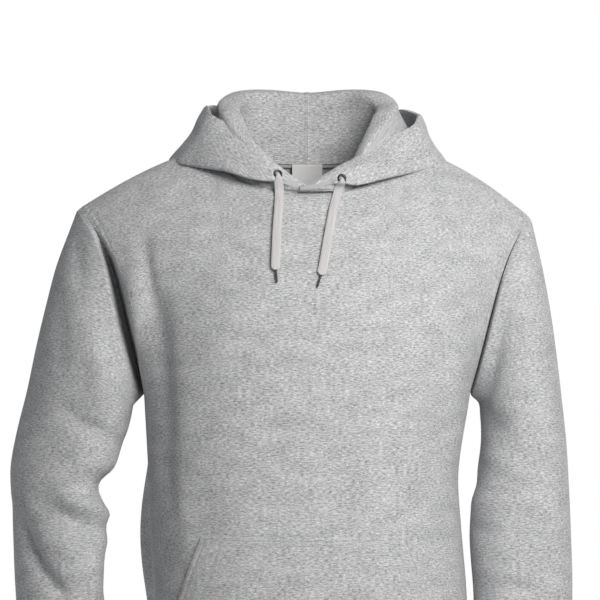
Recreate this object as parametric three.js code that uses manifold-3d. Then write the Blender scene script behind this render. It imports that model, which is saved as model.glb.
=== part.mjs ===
// A pullover hoodie in heather grey fleece, filled out as if worn, with its hood down behind the neck.
// Millimetres, +Z up, the front faces -Y. The origin is the middle of the neck at the height where the
// shoulder seams meet the neckline, which is where the wearer's neck and shoulders carry the garment.
import * as THREE from 'three';
import { mergeVertices } from 'three/addons/utils/BufferGeometryUtils.js';
import Module from 'manifold-3d';

const wasm = await Module();
wasm.setup();

// Cloth and seams
const FLEECE = 2.4;
const HOOD_SHELL = 2.0;
const HOOD_LINING = 1.6;
const RIB_KNIT = 2.4;
const SEAM_GAP = 0.3;
const LAYER_GAP = 0.5;
const HOOD_PLY_GAP = 0.7;
// Each edge draws back from its seam by this much, so that two edges that meet at an angle keep the gap.
const EDGE_BACK = 0.22;
const HOOD_EDGE_BACK = 0.7;
// Two panels share the direction of their walls at a seam unless they turn from it by more than this cosine.
const VALLEY = 0.85;

// Body lengths
const HEM_Z = -640;
const ARMPIT_Z = -295;
const TURN_IN_Z = -626;
const BAND_HEIGHT = 64;
const CUFF_LENGTH = 60;

// Neckline
const NECK = { halfWidth: 108, sideY: 6, frontDrop: 62, backDrop: 18, frontCurve: 0.7, backCurve: 0.8 };
// How high the shoulder line would pass over the neck opening, and how round the cloth falls from it
const OVER_NECK = 27;
const FALL = { front: { neck: 1.6, shoulder: 1.15 }, back: { neck: 1.06, shoulder: 1.0 } };

// How finely the panels are divided
const ROWS_BELOW = 9;
const ROWS_ABOVE = 12;
const NECK_COLUMNS = 6;
const SHOULDER_COLUMNS = 6;
const COLUMNS = 2 * (NECK_COLUMNS + SHOULDER_COLUMNS);
const NECK_SHARE = NECK_COLUMNS / (NECK_COLUMNS + SHOULDER_COLUMNS);
const NECK_ANGLE = 30;

// The trunk's level sections: where its sides, front and back lie at each height
const TRUNK = [
  { z: -640, left: -166, right: 172, front: -130, back: 124 },
  { z: -625, left: -174, right: 182, front: -140, back: 133 },
  { z: -600, left: -179, right: 188, front: -147, back: 140 },
  { z: -521, left: -181, right: 186, front: -150, back: 143 },
  { z: -450, left: -184, right: 180, front: -149, back: 140 },
  { z: -386, left: -187, right: 177, front: -148, back: 135 },
  { z: -295, left: -192, right: 190, front: -146, back: 127 },
];
const SIDE_Y = 8;
const TRUNK_POWER = 0.84;

// The armholes: the shoulder point, and how the loop bows forward, backward and outward on its way up
const ARMHOLE = {
  left: { shoulderX: -270, shoulderZ: -78, spread: 50, forward: 60, backward: 66, crown: 7 },
  right: { shoulderX: 262, shoulderZ: -88, spread: 50, forward: 60, backward: 66, crown: 11 },
};
const SHOULDER_Y = 6;
const CAP_POWER = 6;

// The sleeves: each section hangs between a point on the outer outline and one on the inner outline
const SLEEVE = {
  left: [
    { at: 0.07, outX: -281, outZ: -104, inX: -199, inZ: -303, midY: 6, half: 66 },
    { at: 0.16, outX: -297, outZ: -145, inX: -202, inZ: -306, midY: 6, half: 69 },
    { at: 0.25, outX: -309, outZ: -190, inX: -204, inZ: -309, midY: 6, half: 71 },
    { at: 0.34, outX: -321, outZ: -240, inX: -205, inZ: -314, midY: 7, half: 70 },
    { at: 0.43, outX: -332, outZ: -292, inX: -207, inZ: -324, midY: 8, half: 67 },
    { at: 0.51, outX: -344, outZ: -340, inX: -213, inZ: -346, midY: 8, half: 64 },
    { at: 0.57, outX: -351, outZ: -380, inX: -226, inZ: -378, midY: 5, half: 62 },
    { at: 0.63, outX: -350, outZ: -414, inX: -238, inZ: -408, midY: 0, half: 60 },
    { at: 0.7, outX: -347, outZ: -455, inX: -234, inZ: -448, midY: -8, half: 58 },
    { at: 0.8, outX: -343, outZ: -515, inX: -239, inZ: -504, midY: -20, half: 55 },
    { at: 0.9, outX: -335, outZ: -575, inX: -234, inZ: -564, midY: -31, half: 51 },
    { at: 1, outX: -318, outZ: -632, inX: -240, inZ: -624, midY: -40, half: 37 },
  ],
  right: [
    { at: 0.07, outX: 268, outZ: -112, inX: 197, inZ: -303, midY: 6, half: 66 },
    { at: 0.16, outX: 276, outZ: -150, inX: 200, inZ: -306, midY: 6, half: 69 },
    { at: 0.25, outX: 285, outZ: -200, inX: 202, inZ: -311, midY: 6, half: 71 },
    { at: 0.34, outX: 292, outZ: -250, inX: 203, inZ: -321, midY: 6, half: 70 },
    { at: 0.43, outX: 298, outZ: -302, inX: 204, inZ: -338, midY: 5, half: 67 },
    { at: 0.51, outX: 303, outZ: -350, inX: 203, inZ: -362, midY: 3, half: 64 },
    { at: 0.6, outX: 306, outZ: -405, inX: 196, inZ: -406, midY: 0, half: 61 },
    { at: 0.7, outX: 308, outZ: -462, inX: 190, inZ: -458, midY: -5, half: 58 },
    { at: 0.8, outX: 309, outZ: -520, inX: 193, inZ: -512, midY: -11, half: 55 },
    { at: 0.9, outX: 306, outZ: -578, inX: 198, inZ: -570, midY: -18, half: 51 },
    { at: 1, outX: 290, outZ: -634, inX: 211, inZ: -628, midY: -24, half: 37 },
  ],
};
const SLEEVE_RINGS = 16;
const SLEEVE_POWER = 0.92;

// Ribbing: one rib is a ridge and a groove
const RIB_PITCH = 8;
const RIB_RELIEF = 0.9;
const BAND = { halfX: 168, midX: 3, front: -129, back: 123, drawIn: 5 };
const CUFF = { halfX: 38, halfY: 35, taper: 2 };

// The hood, cut through at angles round the neck from the middle of the back. Each section leaves the
// neck seam, stands up to a first fold, turns down outside to a second fold and rises to its free edge.
// out and up are measured from the neck seam. plain blends towards a section with no folds.
const HOOD = [
  { angle: 0, foldOut: 18, foldUp: 79, foldHalf: 12, bagOut: 80, bagUp: -166, bagHalf: 10,
    midOut: 103, midUp: -90, edgeOut: 94, edgeUp: 34, plain: 0, rightOut: 0, rightUp: 0 },
  { angle: 25, foldOut: 14, foldUp: 79, foldHalf: 12, bagOut: 78, bagUp: -136, bagHalf: 10,
    midOut: 98, midUp: -66, edgeOut: 86, edgeUp: 41, plain: 0, rightOut: 0, rightUp: 0 },
  { angle: 50, foldOut: 1, foldUp: 73, foldHalf: 12, bagOut: 66, bagUp: -66, bagHalf: 9,
    midOut: 72, midUp: -22, edgeOut: 56, edgeUp: 48, plain: 0, rightOut: 5, rightUp: -4 },
  { angle: 70, foldOut: -8, foldUp: 66, foldHalf: 12, bagOut: 55, bagUp: -29, bagHalf: 9,
    midOut: 48, midUp: 8, edgeOut: 32, edgeUp: 49, plain: 0, rightOut: 9, rightUp: -7 },
  { angle: 90, foldOut: -14, foldUp: 51, foldHalf: 12, bagOut: 43, bagUp: -10, bagHalf: 9,
    midOut: 29, midUp: 12, edgeOut: 12, edgeUp: 41, plain: 0, rightOut: 13, rightUp: -10 },
  { angle: 100, foldOut: -19, foldUp: 57, foldHalf: 11, bagOut: 24, bagUp: 1.8, bagHalf: 9,
    midOut: 22, midUp: 22, edgeOut: 3, edgeUp: 51, plain: 0, rightOut: 11, rightUp: -13 },
  { angle: 112, foldOut: -24, foldUp: 56, foldHalf: 9, bagOut: 9, bagUp: 3, bagHalf: 8,
    midOut: 12, midUp: 28, edgeOut: -8, edgeUp: 52, plain: 0, rightOut: 7, rightUp: -14 },
  { angle: 123, foldOut: -23, foldUp: 49, foldHalf: 7, bagOut: 7, bagUp: 5, bagHalf: 7,
    midOut: 9, midUp: 28, edgeOut: -10, edgeUp: 50, plain: 0, rightOut: 5, rightUp: -13 },
  { angle: 135, foldOut: -19, foldUp: 35, foldHalf: 5, bagOut: 8, bagUp: 8, bagHalf: 8,
    midOut: 8, midUp: 28, edgeOut: -11, edgeUp: 47, plain: 0, rightOut: 4, rightUp: -12 },
  { angle: 142, foldOut: -10, foldUp: 16, foldHalf: 5, bagOut: 6, bagUp: 8, bagHalf: 6,
    midOut: 8, midUp: 27, edgeOut: -9, edgeUp: 44, plain: 0.5, rightOut: 3, rightUp: -10 },
  { angle: 149, foldOut: -3, foldUp: 14, foldHalf: 4, bagOut: 7, bagUp: 6, bagHalf: 6,
    midOut: 7, midUp: 24, edgeOut: -6, edgeUp: 39, plain: 0.7, rightOut: 2, rightUp: -7 },
  { angle: 157, foldOut: 0, foldUp: 10, foldHalf: 4, bagOut: 6, bagUp: 5, bagHalf: 5,
    midOut: 6, midUp: 20, edgeOut: -4, edgeUp: 33, plain: 1, rightOut: 0, rightUp: -3 },
  { angle: 170, foldOut: 0, foldUp: 10, foldHalf: 4, bagOut: 6, bagUp: 5, bagHalf: 5,
    midOut: 6, midUp: 15, edgeOut: -3, edgeUp: 20, plain: 1, rightOut: 0, rightUp: 0 },
  { angle: 181, foldOut: 0, foldUp: 8, foldHalf: 4, bagOut: 6, bagUp: 4, bagHalf: 5,
    midOut: 6, midUp: 12, edgeOut: -2, edgeUp: 9, plain: 1, rightOut: 0, rightUp: 0 },
  { angle: 197, foldOut: 0, foldUp: 8, foldHalf: 4, bagOut: 6, bagUp: 4, bagHalf: 5,
    midOut: 6, midUp: 12, edgeOut: -2, edgeUp: 7, plain: 1, rightOut: 0, rightUp: 0 },
];
const HOOD_BULGE = 6;
const HOOD_STEPS = 25;
const HOOD_END = { left: 195, right: 184 };
// The right side laps over the left at the throat, so it stands out from it there.
const LAP = { out: 6.8, up: 0.4, from: 146, to: 164 };

// Kangaroo pocket
const POCKET = {
  top: -450, bottom: -636, topHalf: 115, bottomHalf: 162, straight: 48, midX: -3.4, lift: 0.6, mouth: 2.4,
};

// Drawcord, eyelets, neck tape and label
const EYELET = { hole: 2.9, ring: 5.2, barrel: 3.5, height: 1.1, depth: 1.6 };
const EYELET_AT = { left: { angle: 159.5, along: 0.7 }, right: { angle: 158, along: 0.7 } };
const CORD = { width: 10, thick: 2, tip: 3.2, tipLength: 15, offChest: 4.1 };
// Points of the two hanging ends, seen from the front
const CORD_ROUTE = {
  left: [
    { x: -32, z: -49 },
    { x: -32, z: -60 },
    { x: -31.5, z: -75 },
    { x: -31, z: -98 },
    { x: -33, z: -122 },
    { x: -35.5, z: -145 },
    { x: -37, z: -164 },
  ],
  right: [
    { x: 34, z: -51 },
    { x: 32.5, z: -64 },
    { x: 29, z: -80 },
    { x: 24.5, z: -102 },
    { x: 19.5, z: -125 },
    { x: 15.5, z: -147 },
    { x: 11.5, z: -170 },
  ],
};
const TAPE = { width: 10, thick: 0.8, reach: 62 };
const LABEL = { width: 38, height: 46, thick: 0.7 };

const HEATHER = 0x9c9ea0;
const CORD_GREY = 0xb4b4b5;
const TAPE_GREY = 0xb9babb;
const LABEL_GREY = 0xc9c9c8;
const sides = ['left', 'right'];
const signOf = (side) => (side === 'left' ? -1 : 1);
const rad = THREE.MathUtils.degToRad;
const mix = THREE.MathUtils.lerp;
const smooth = (t) => THREE.MathUtils.smoothstep(t, 0, 1);
const point = (x, y, z) => new THREE.Vector3(x, y, z);

// A row of a table at any value of its first column, on smooth curves through the rows
function rowAt(table, key, value) {
  let i = 0;
  while (i < table.length - 2 && value > table[i + 1][key]) i++;
  const a = table[i];
  const b = table[i + 1];
  const span = b[key] - a[key];
  const t = THREE.MathUtils.clamp((value - a[key]) / span, 0, 1);
  const row = {};
  for (const name of Object.keys(a)) {
    const slope = (before, after) =>
      (table[after][name] - table[before][name]) / (table[after][key] - table[before][key]);
    const start = i > 0 ? slope(i - 1, i + 1) : slope(i, i + 1);
    const end = i < table.length - 2 ? slope(i, i + 2) : slope(i, i + 1);
    const fromA = (2 * t ** 3 - 3 * t ** 2 + 1) * a[name] + (t ** 3 - 2 * t ** 2 + t) * span * start;
    const fromB = (3 * t ** 2 - 2 * t ** 3) * b[name] + (t ** 3 - t ** 2) * span * end;
    row[name] = fromA + fromB;
  }
  return row;
}

// Signed power, which squares off or rounds a section
const bow = (value, power) => Math.sign(value) * Math.abs(value) ** power;

// Panels of the trunk
// across runs from -1 at the left side seam to 1 at the right one. It turns into an angle that leaves
// enough columns for the neckline.
function trunkAngle(across) {
  const share = Math.abs(across);
  const degrees =
    share < NECK_SHARE
      ? (share / NECK_SHARE) * NECK_ANGLE
      : mix(NECK_ANGLE, 90, (share - NECK_SHARE) / (1 - NECK_SHARE));
  return rad(degrees) * Math.sign(across);
}

function trunkSection(face, across, z) {
  const row = rowAt(TRUNK, 'z', z);
  const angle = trunkAngle(across);
  const middle = (row.left + row.right) / 2;
  const half = (row.right - row.left) / 2;
  const depth = face === 'front' ? row.front - SIDE_Y : row.back - SIDE_Y;
  const x = middle + half * bow(Math.sin(angle), TRUNK_POWER);
  return point(x, SIDE_Y + depth * Math.cos(angle) ** TRUNK_POWER, z);
}

// The line the shoulders follow: their seams, and over the neck opening a rounded top between them
function shoulderLine(across) {
  const share = Math.abs(across);
  const sign = Math.sign(across);
  if (share <= NECK_SHARE) {
    const x = NECK.halfWidth * Math.sin(rad((share / NECK_SHARE) * 90));
    return point(sign * x, NECK.sideY, OVER_NECK * (1 - (x / NECK.halfWidth) ** 2));
  }
  const hole = ARMHOLE[across < 0 ? 'left' : 'right'];
  const along = (share - NECK_SHARE) / (1 - NECK_SHARE);
  const seam = point(sign * NECK.halfWidth, NECK.sideY, 0);
  seam.lerp(point(hole.shoulderX, SHOULDER_Y, hole.shoulderZ), along);
  seam.z += hole.crown * Math.sin(Math.PI * along);
  return seam;
}

// The height of the neckline below the shoulder seams
function neckHeight(face, across) {
  const reach = Math.cos(rad((Math.abs(across) / NECK_SHARE) * 90));
  if (face === 'front') return -NECK.frontDrop * reach ** NECK.frontCurve;
  return -NECK.backDrop * reach ** NECK.backCurve;
}

// The armhole loop: climb is 0 at the armpit and 1 at the shoulder point
function armhole(face, side, climb) {
  const hole = ARMHOLE[side];
  const angle = rad(-90 + 180 * climb);
  const rise = (1 + Math.sin(angle)) / 2;
  const sign = signOf(side);
  const pit = trunkSection(face, sign, ARMPIT_Z);
  const cap = hole.shoulderX - pit.x - sign * hole.spread;
  const reach = face === 'front' ? -hole.forward : hole.backward;
  return point(
    pit.x + sign * hole.spread * rise + cap * rise ** CAP_POWER,
    mix(SIDE_Y, SHOULDER_Y, rise) + reach * Math.cos(angle),
    mix(ARMPIT_Z, hole.shoulderZ, rise),
  );
}

// How far a column bends over by its top: a quarter turn at the shoulder seams, less at the neckline
function fullTurn(face, across) {
  if (Math.abs(across) >= NECK_SHARE) return Math.PI / 2;
  return Math.asin((neckHeight(face, across) - ARMPIT_Z) / (shoulderLine(across).z - ARMPIT_Z));
}

// The rounded chest or upper back: it rises upright from the armpits and bends over to the shoulders.
// Columns under the neck opening stop at the neckline.
function yoke(face, across, climb) {
  const low = trunkSection(face, across, ARMPIT_Z);
  const high = shoulderLine(across);
  const share = Math.abs(across);
  const turn = climb * fullTurn(face, across);
  const out = smooth((share - NECK_SHARE) / (1 - NECK_SHARE));
  const fall = mix(FALL[face].neck, FALL[face].shoulder, out);
  return point(
    mix(low.x, high.x, ((2 * turn) / Math.PI) ** 1.2),
    mix(high.y, low.y, Math.max(Math.cos(turn), 0) ** fall),
    mix(low.z, high.z, Math.sin(turn)),
  );
}

// Soft folds: each row is a ridge (height above 0) or a trough along a line of the panel's front view
const BODY_FOLDS = {
  front: [
    { x1: -172, z1: -150, x2: -160, z2: -420, height: -7, spread: 13 },
    { x1: -206, z1: -135, x2: -182, z2: -300, height: 6, spread: 12 },
    { x1: 196, z1: -130, x2: 166, z2: -330, height: 5, spread: 16 },
    { x1: 150, z1: -230, x2: 150, z2: -420, height: -4, spread: 20 },
    { x1: -120, z1: -590, x2: 140, z2: -606, height: 5, spread: 14 },
  ],
  back: [
    { x1: -150, z1: -230, x2: -120, z2: -470, height: -7, spread: 18 },
    { x1: 150, z1: -230, x2: 118, z2: -480, height: -7, spread: 18 },
    { x1: -178, z1: -380, x2: -184, z2: -600, height: 12, spread: 26 },
    { x1: -110, z1: -560, x2: 120, z2: -590, height: 7, spread: 15 },
    { x1: -100, z1: -500, x2: 60, z2: -520, height: -4, spread: 15 },
  ],
};

// How far the cloth stands out at a point, from all the folds near it
function foldHeight(folds, x, z) {
  let height = 0;
  for (const fold of folds) {
    const dx = fold.x2 - fold.x1;
    const dz = fold.z2 - fold.z1;
    const length = Math.hypot(dx, dz);
    const along = ((x - fold.x1) * dx + (z - fold.z1) * dz) / length ** 2;
    const aside = Math.abs((x - fold.x1) * dz - (z - fold.z1) * dx) / length;
    const fade = Math.sin(Math.PI * THREE.MathUtils.clamp(along, 0, 1));
    height += fold.height * fade * Math.exp(-((aside / fold.spread) ** 2));
  }
  return height;
}

// Heights of the rows below the armpits. The lowest row is short, where the cloth turns in to the band.
function rowHeight(row) {
  return row === 0 ? HEM_Z : mix(TURN_IN_Z, ARMPIT_Z, (row - 1) / (ROWS_BELOW - 1));
}

function bodyPoint(face, across, row) {
  if (row <= ROWS_BELOW) return trunkSection(face, across, rowHeight(row));
  const climb = (row - ROWS_BELOW) / ROWS_ABOVE;
  const place = yoke(face, across, climb);
  const turned = (climb * fullTurn(face, across)) / (Math.PI / 2);
  for (const side of sides) {
    const sign = signOf(side);
    const near = Math.max(across * sign, 0) ** mix(8, 2.4, smooth(turned * 2));
    const shift = armhole(face, side, turned).sub(yoke(face, sign, turned));
    place.addScaledVector(shift, near);
  }
  return place;
}

// Grids of points, with a normal at each that looks away from the place that within gives
function gridNormals(grid, wrap, within) {
  const columns = grid.length;
  const rows = grid[0].length;
  const normals = grid.map((column) => column.map(() => point(0, 0, 0)));
  const spans = wrap ? columns : columns - 1;
  for (let i = 0; i < spans; i++) {
    for (let j = 0; j < rows - 1; j++) {
      const next = (i + 1) % columns;
      const corners = [[i, j], [next, j], [next, j + 1], [i, j + 1]];
      corners.forEach(([k, l], n) => {
        const [a, b] = [corners[(n + 1) % 4], corners[(n + 3) % 4]];
        const ahead = grid[a[0]][a[1]].clone().sub(grid[k][l]);
        const behind = grid[b[0]][b[1]].clone().sub(grid[k][l]);
        const weight = ahead.angleTo(behind);
        normals[k][l].addScaledVector(ahead.cross(behind).normalize(), weight);
      });
    }
  }
  let facing = 0;
  normals.forEach((column, i) =>
    column.forEach((normal, j) => {
      facing += normal.normalize().dot(grid[i][j].clone().sub(within(j)));
    }),
  );
  if (facing < 0) normals.flat().forEach((normal) => normal.negate());
  return normals;
}

// Evens out the directions of a tightly folded sheet, so that its inner layers don't cross themselves
function evenNormals(normals, passes) {
  const lastI = normals.length - 1;
  const lastJ = normals[0].length - 1;
  let even = normals;
  for (let n = 0; n < passes; n++) {
    even = even.map((column, i) =>
      column.map((normal, j) => {
        const sum = normal.clone().multiplyScalar(2);
        sum.add(even[Math.max(i - 1, 0)][j]).add(even[Math.min(i + 1, lastI)][j]);
        sum.addScaledVector(column[Math.max(j - 1, 0)], 0.5);
        sum.addScaledVector(column[Math.min(j + 1, lastJ)], 0.5);
        return sum.normalize();
      }),
    );
  }
  return even;
}

// Raises a grid along its own normals
function raise(grid, normals, heightAt) {
  const raised = (at, i, j) => at.clone().addScaledVector(normals[i][j], heightAt(at, i, j));
  return grid.map((column, i) => column.map((at, j) => raised(at, i, j)));
}

const moveIn = (grid, normals, depth) => raise(grid, normals, () => -depth);

// Draws the edges of a grid back from their seams
function drawBack(layers, edges, amount, shape) {
  const pull = (i, j, k, l) => {
    const away = shape[k][l].clone().sub(shape[i][j]).setLength(amount);
    for (const layer of layers) layer[i][j].add(away);
  };
  const lastI = shape.length - 1;
  const lastJ = shape[0].length - 1;
  for (let i = 0; i <= lastI; i++) {
    if (edges.includes('bottom')) pull(i, 0, i, 1);
    if (edges.includes('top')) pull(i, lastJ, i, lastJ - 1);
  }
  for (let j = 0; j <= lastJ; j++) {
    if (edges.includes('start')) pull(0, j, 1, j);
    if (edges.includes('end')) pull(lastI, j, lastI - 1, j);
  }
}

// A closed wall between an outer and an inner grid. wrap joins the last column to the first, as on a tube.
function wallGeometry(outer, inner, wrap, shape = outer) {
  const columns = outer.length;
  const rows = outer[0].length;
  const positions = [];
  for (const at of [...outer, ...inner].flat()) positions.push(...at);
  const index = (layer, i, j) => layer * columns * rows + (i % columns) * rows + j;
  const faces = [];
  const quad = (a, b, c, d, crossed) =>
    crossed ? faces.push(a, b, d, b, c, d) : faces.push(a, b, c, a, c, d);
  const spans = wrap ? columns : columns - 1;
  // Each cell is split along its shorter diagonal, the same way in both layers.
  const isCrossed = (i, j) => {
    const next = (i + 1) % columns;
    return shape[next][j].distanceTo(shape[i][j + 1]) < shape[i][j].distanceTo(shape[next][j + 1]);
  };
  for (let i = 0; i < spans; i++) {
    for (let j = 0; j < rows - 1; j++) {
      const crossed = isCrossed(i, j);
      quad(index(0, i, j), index(0, i + 1, j), index(0, i + 1, j + 1), index(0, i, j + 1), crossed);
      quad(index(1, i, j), index(1, i, j + 1), index(1, i + 1, j + 1), index(1, i + 1, j), crossed);
    }
    quad(index(0, i, 0), index(1, i, 0), index(1, i + 1, 0), index(0, i + 1, 0));
    quad(index(0, i, rows - 1), index(0, i + 1, rows - 1), index(1, i + 1, rows - 1), index(1, i, rows - 1));
  }
  for (let j = 0; j < rows - 1 && !wrap; j++) {
    quad(index(0, 0, j), index(0, 0, j + 1), index(1, 0, j + 1), index(1, 0, j));
    const e = columns - 1;
    quad(index(0, e, j), index(1, e, j), index(1, e, j + 1), index(0, e, j + 1));
  }
  const geometry = new THREE.BufferGeometry();
  geometry.setAttribute('position', new THREE.Float32BufferAttribute(positions, 3));
  geometry.setIndex(faces);
  if (signedVolume(geometry) < 0) {
    for (let k = 0; k < faces.length; k += 3) [faces[k + 1], faces[k + 2]] = [faces[k + 2], faces[k + 1]];
    geometry.setIndex(faces);
  }
  return geometry;
}

function signedVolume(geometry) {
  const place = geometry.getAttribute('position');
  const order = geometry.getIndex();
  const corner = [0, 1, 2].map(() => new THREE.Vector3());
  let sum = 0;
  for (let k = 0; k < order.count; k += 3) {
    corner.forEach((vector, n) => vector.fromBufferAttribute(place, order.getX(k + n)));
    sum += corner[0].dot(corner[1].clone().cross(corner[2])) / 6;
  }
  return sum;
}

const range = (count, make) => Array.from({ length: count }, (_, i) => make(i));

// Outer points of the garment's cut pieces, which meet at the same points along each seam
const trunkMiddle = () => point(0, SIDE_Y, -360);
function ringMiddle(grid) {
  return (j) => {
    const sum = grid.reduce((total, column) => total.add(column[j]), point(0, 0, 0));
    return sum.divideScalar(grid.length);
  };
}

function bodyGrid(face) {
  const plain = range(COLUMNS + 1, (i) =>
    range(ROWS_BELOW + ROWS_ABOVE + 1, (j) => bodyPoint(face, (2 * i) / COLUMNS - 1, j)),
  );
  const normals = gridNormals(plain, false, trunkMiddle);
  const lastI = COLUMNS;
  const lastJ = ROWS_BELOW + ROWS_ABOVE;
  return raise(plain, normals, (at, i, j) => {
    const edge = i === 0 || i === lastI || j === 0 || j === lastJ;
    return edge ? 0 : foldHeight(BODY_FOLDS[face], at.x, at.z);
  });
}

// One section of a sleeve, started at the armpit and turned towards the front
function sleeveSection(side, at, turn) {
  const row = rowAt(SLEEVE[side], 'at', at);
  const inner = point(row.inX, row.midY, row.inZ);
  const outer = point(row.outX, row.midY, row.outZ);
  const angle = turn * 2 * Math.PI;
  const across = (1 - bow(Math.cos(angle), SLEEVE_POWER)) / 2;
  const place = inner.lerp(outer, across);
  place.y -= row.half * bow(Math.sin(angle), SLEEVE_POWER);
  return place;
}

// Folds of the sleeves: z is the height of the fold's middle, turn its place round the sleeve,
// slant how much it climbs on its way round
const SLEEVE_FOLDS = {
  left: [
    { z: -372, turn: 0.1, reach: 0.17, slant: -60, height: 6, spread: 14 },
    { z: -398, turn: 0.07, reach: 0.2, slant: -70, height: -8, spread: 13 },
    { z: -428, turn: 0.12, reach: 0.2, slant: -60, height: 7, spread: 14 },
    { z: -470, turn: 0.14, reach: 0.22, slant: 60, height: -5, spread: 15 },
    { z: -560, turn: 0.2, reach: 0.3, slant: -50, height: 5, spread: 16 },
    { z: -590, turn: 0.75, reach: 0.3, slant: 40, height: 5, spread: 15 },
    { z: -405, turn: 0.88, reach: 0.25, slant: 50, height: -6, spread: 15 },
  ],
  right: [
    { z: -330, turn: 0.12, reach: 0.14, slant: -120, height: -5, spread: 18 },
    { z: -420, turn: 0.08, reach: 0.2, slant: -60, height: 4, spread: 18 },
    { z: -560, turn: 0.2, reach: 0.3, slant: -50, height: 5, spread: 16 },
    { z: -590, turn: 0.75, reach: 0.3, slant: 40, height: 5, spread: 15 },
    { z: -410, turn: 0.88, reach: 0.25, slant: 50, height: -6, spread: 15 },
  ],
};

function sleeveFold(side, turn, z) {
  let height = 0;
  for (const fold of SLEEVE_FOLDS[side]) {
    const away = ((turn - fold.turn + 1.5) % 1) - 0.5;
    const fade = Math.cos((Math.PI / 2) * THREE.MathUtils.clamp(away / fold.reach, -1, 1)) ** 2;
    const aside = z - fold.z - fold.slant * away;
    height += fold.height * fade * Math.exp(-((aside / fold.spread) ** 2));
  }
  return height;
}

function sleeveGrid(side, body) {
  const edge = signOf(side) < 0 ? 0 : COLUMNS;
  const loop = [
    ...range(ROWS_ABOVE, (k) => body.front[edge][ROWS_BELOW + k]),
    ...range(ROWS_ABOVE, (k) => body.back[edge][ROWS_BELOW + ROWS_ABOVE - k]),
  ];
  const around = loop.length;
  const plain = range(around, (i) =>
    range(SLEEVE_RINGS + 1, (j) => {
      if (j === 0) return loop[i].clone();
      const along = j / SLEEVE_RINGS;
      const place = sleeveSection(side, along, i / around);
      const hold = (1 - smooth(along / 0.2)) ** 1.5;
      const first = sleeveSection(side, SLEEVE[side][0].at, i / around);
      return place.addScaledVector(loop[i].clone().sub(first), hold);
    }),
  );
  const normals = gridNormals(plain, true, ringMiddle(plain));
  return raise(plain, normals, (at, i, j) => {
    const free = smooth(j / 4) * smooth((SLEEVE_RINGS - j) / 2);
    return free * sleeveFold(side, i / around, at.z);
  });
}

// The hood
function hoodDirection(degrees, side) {
  const angle = rad(degrees);
  return point(signOf(side) * Math.sin(angle), Math.cos(angle), 0);
}

// The neck seam follows the straight stretches between the points of the panels' neck edges.
function neckSeam(degrees, side) {
  const face = degrees <= 90 ? 'back' : 'front';
  const turn = degrees <= 90 ? degrees : 180 - degrees;
  const across = (signOf(side) * turn * NECK_SHARE) / 90;
  return gridPoint(body[face], (across + 1) / 2, 1);
}

// The thirteen points of a hood section, out from and up from the neck seam
function hoodSection(side, degrees) {
  const row = rowAt(HOOD, 'angle', degrees);
  const right = side === 'right' ? 1 : 0;
  const fold = [row.foldOut, row.foldUp];
  const bag = [row.bagOut, row.bagUp];
  const middle = [row.midOut + row.rightOut * right * 0.5, row.midUp + row.rightUp * right * 0.5];
  const edge = [row.edgeOut + row.rightOut * right, row.edgeUp + row.rightUp * right];
  const between = (a, b, t, bulge) => [mix(a[0], b[0], t) + bulge, mix(a[1], b[1], t)];
  const start = [fold[0] - row.foldHalf, fold[1] - row.foldHalf * 1.1];
  const over = [fold[0] + row.foldHalf * 0.75, fold[1] - row.foldHalf * 0.35];
  const down = [fold[0] + row.foldHalf, fold[1] - row.foldHalf * 1.3];
  const sink = [bag[0] - row.bagHalf, bag[1] + row.bagHalf * 0.6];
  const rise = [bag[0] + row.bagHalf, bag[1] + row.bagHalf * 0.5];
  const folded = [
    [0, 0],
    between([0, 0], start, 0.5, -1),
    start,
    between(start, fold, 0.6, -row.foldHalf * 0.25),
    over,
    down,
    between(down, sink, 0.5, -4 * THREE.MathUtils.clamp((down[1] - sink[1]) / 30, 0, 1)),
    sink,
    bag,
    rise,
    middle,
    between(middle, edge, 0.55, 1),
    edge,
  ];
  const last = folded.length - 1;
  const bulge = HOOD_BULGE * Math.min(1, edge[1] / 32);
  return folded.map((place, k) => {
    const t = k / last;
    const straight = [edge[0] * t + bulge * Math.sin(Math.PI * t ** 0.8), edge[1] * t];
    return [mix(place[0], straight[0], row.plain), mix(place[1], straight[1], row.plain)];
  });
}

function hoodPoint(side, degrees, along) {
  const seam = neckSeam(degrees, side);
  const direction = hoodDirection(degrees, side);
  return seam.addScaledVector(direction, along[0]).setZ(seam.z + along[1]);
}

function hoodGrid(side) {
  return range(HOOD_STEPS + 1, (i) => {
    const degrees = (HOOD_END[side] * i) / HOOD_STEPS;
    const lap = side === 'right' ? smooth((degrees - LAP.from) / (LAP.to - LAP.from)) : 0;
    return hoodSection(side, degrees).map((place) =>
      hoodPoint(side, degrees, [place[0] + LAP.out * lap, place[1] + LAP.up * lap]),
    );
  });
}

// A point of a grid between its own points
function gridPoint(grid, u, v) {
  const i = Math.min(Math.floor(u * (grid.length - 1)), grid.length - 2);
  const j = Math.min(Math.floor(v * (grid[0].length - 1)), grid[0].length - 2);
  const a = u * (grid.length - 1) - i;
  const b = v * (grid[0].length - 1) - j;
  const low = grid[i][j].clone().lerp(grid[i + 1][j], a);
  const high = grid[i][j + 1].clone().lerp(grid[i + 1][j + 1], a);
  return low.lerp(high, b);
}

// Materials
const cloth = (color = HEATHER, roughness = 0.95) =>
  new THREE.MeshStandardMaterial({ color, roughness, metalness: 0 });
const metal = () => new THREE.MeshStandardMaterial({ color: 0x3c3e40, roughness: 0.4, metalness: 0.9 });

const hoodie = new THREE.Group();
function addPiece(name, geometry, material) {
  const mesh = new THREE.Mesh(geometry, material);
  mesh.name = name;
  hoodie.add(mesh);
  return mesh;
}

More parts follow.
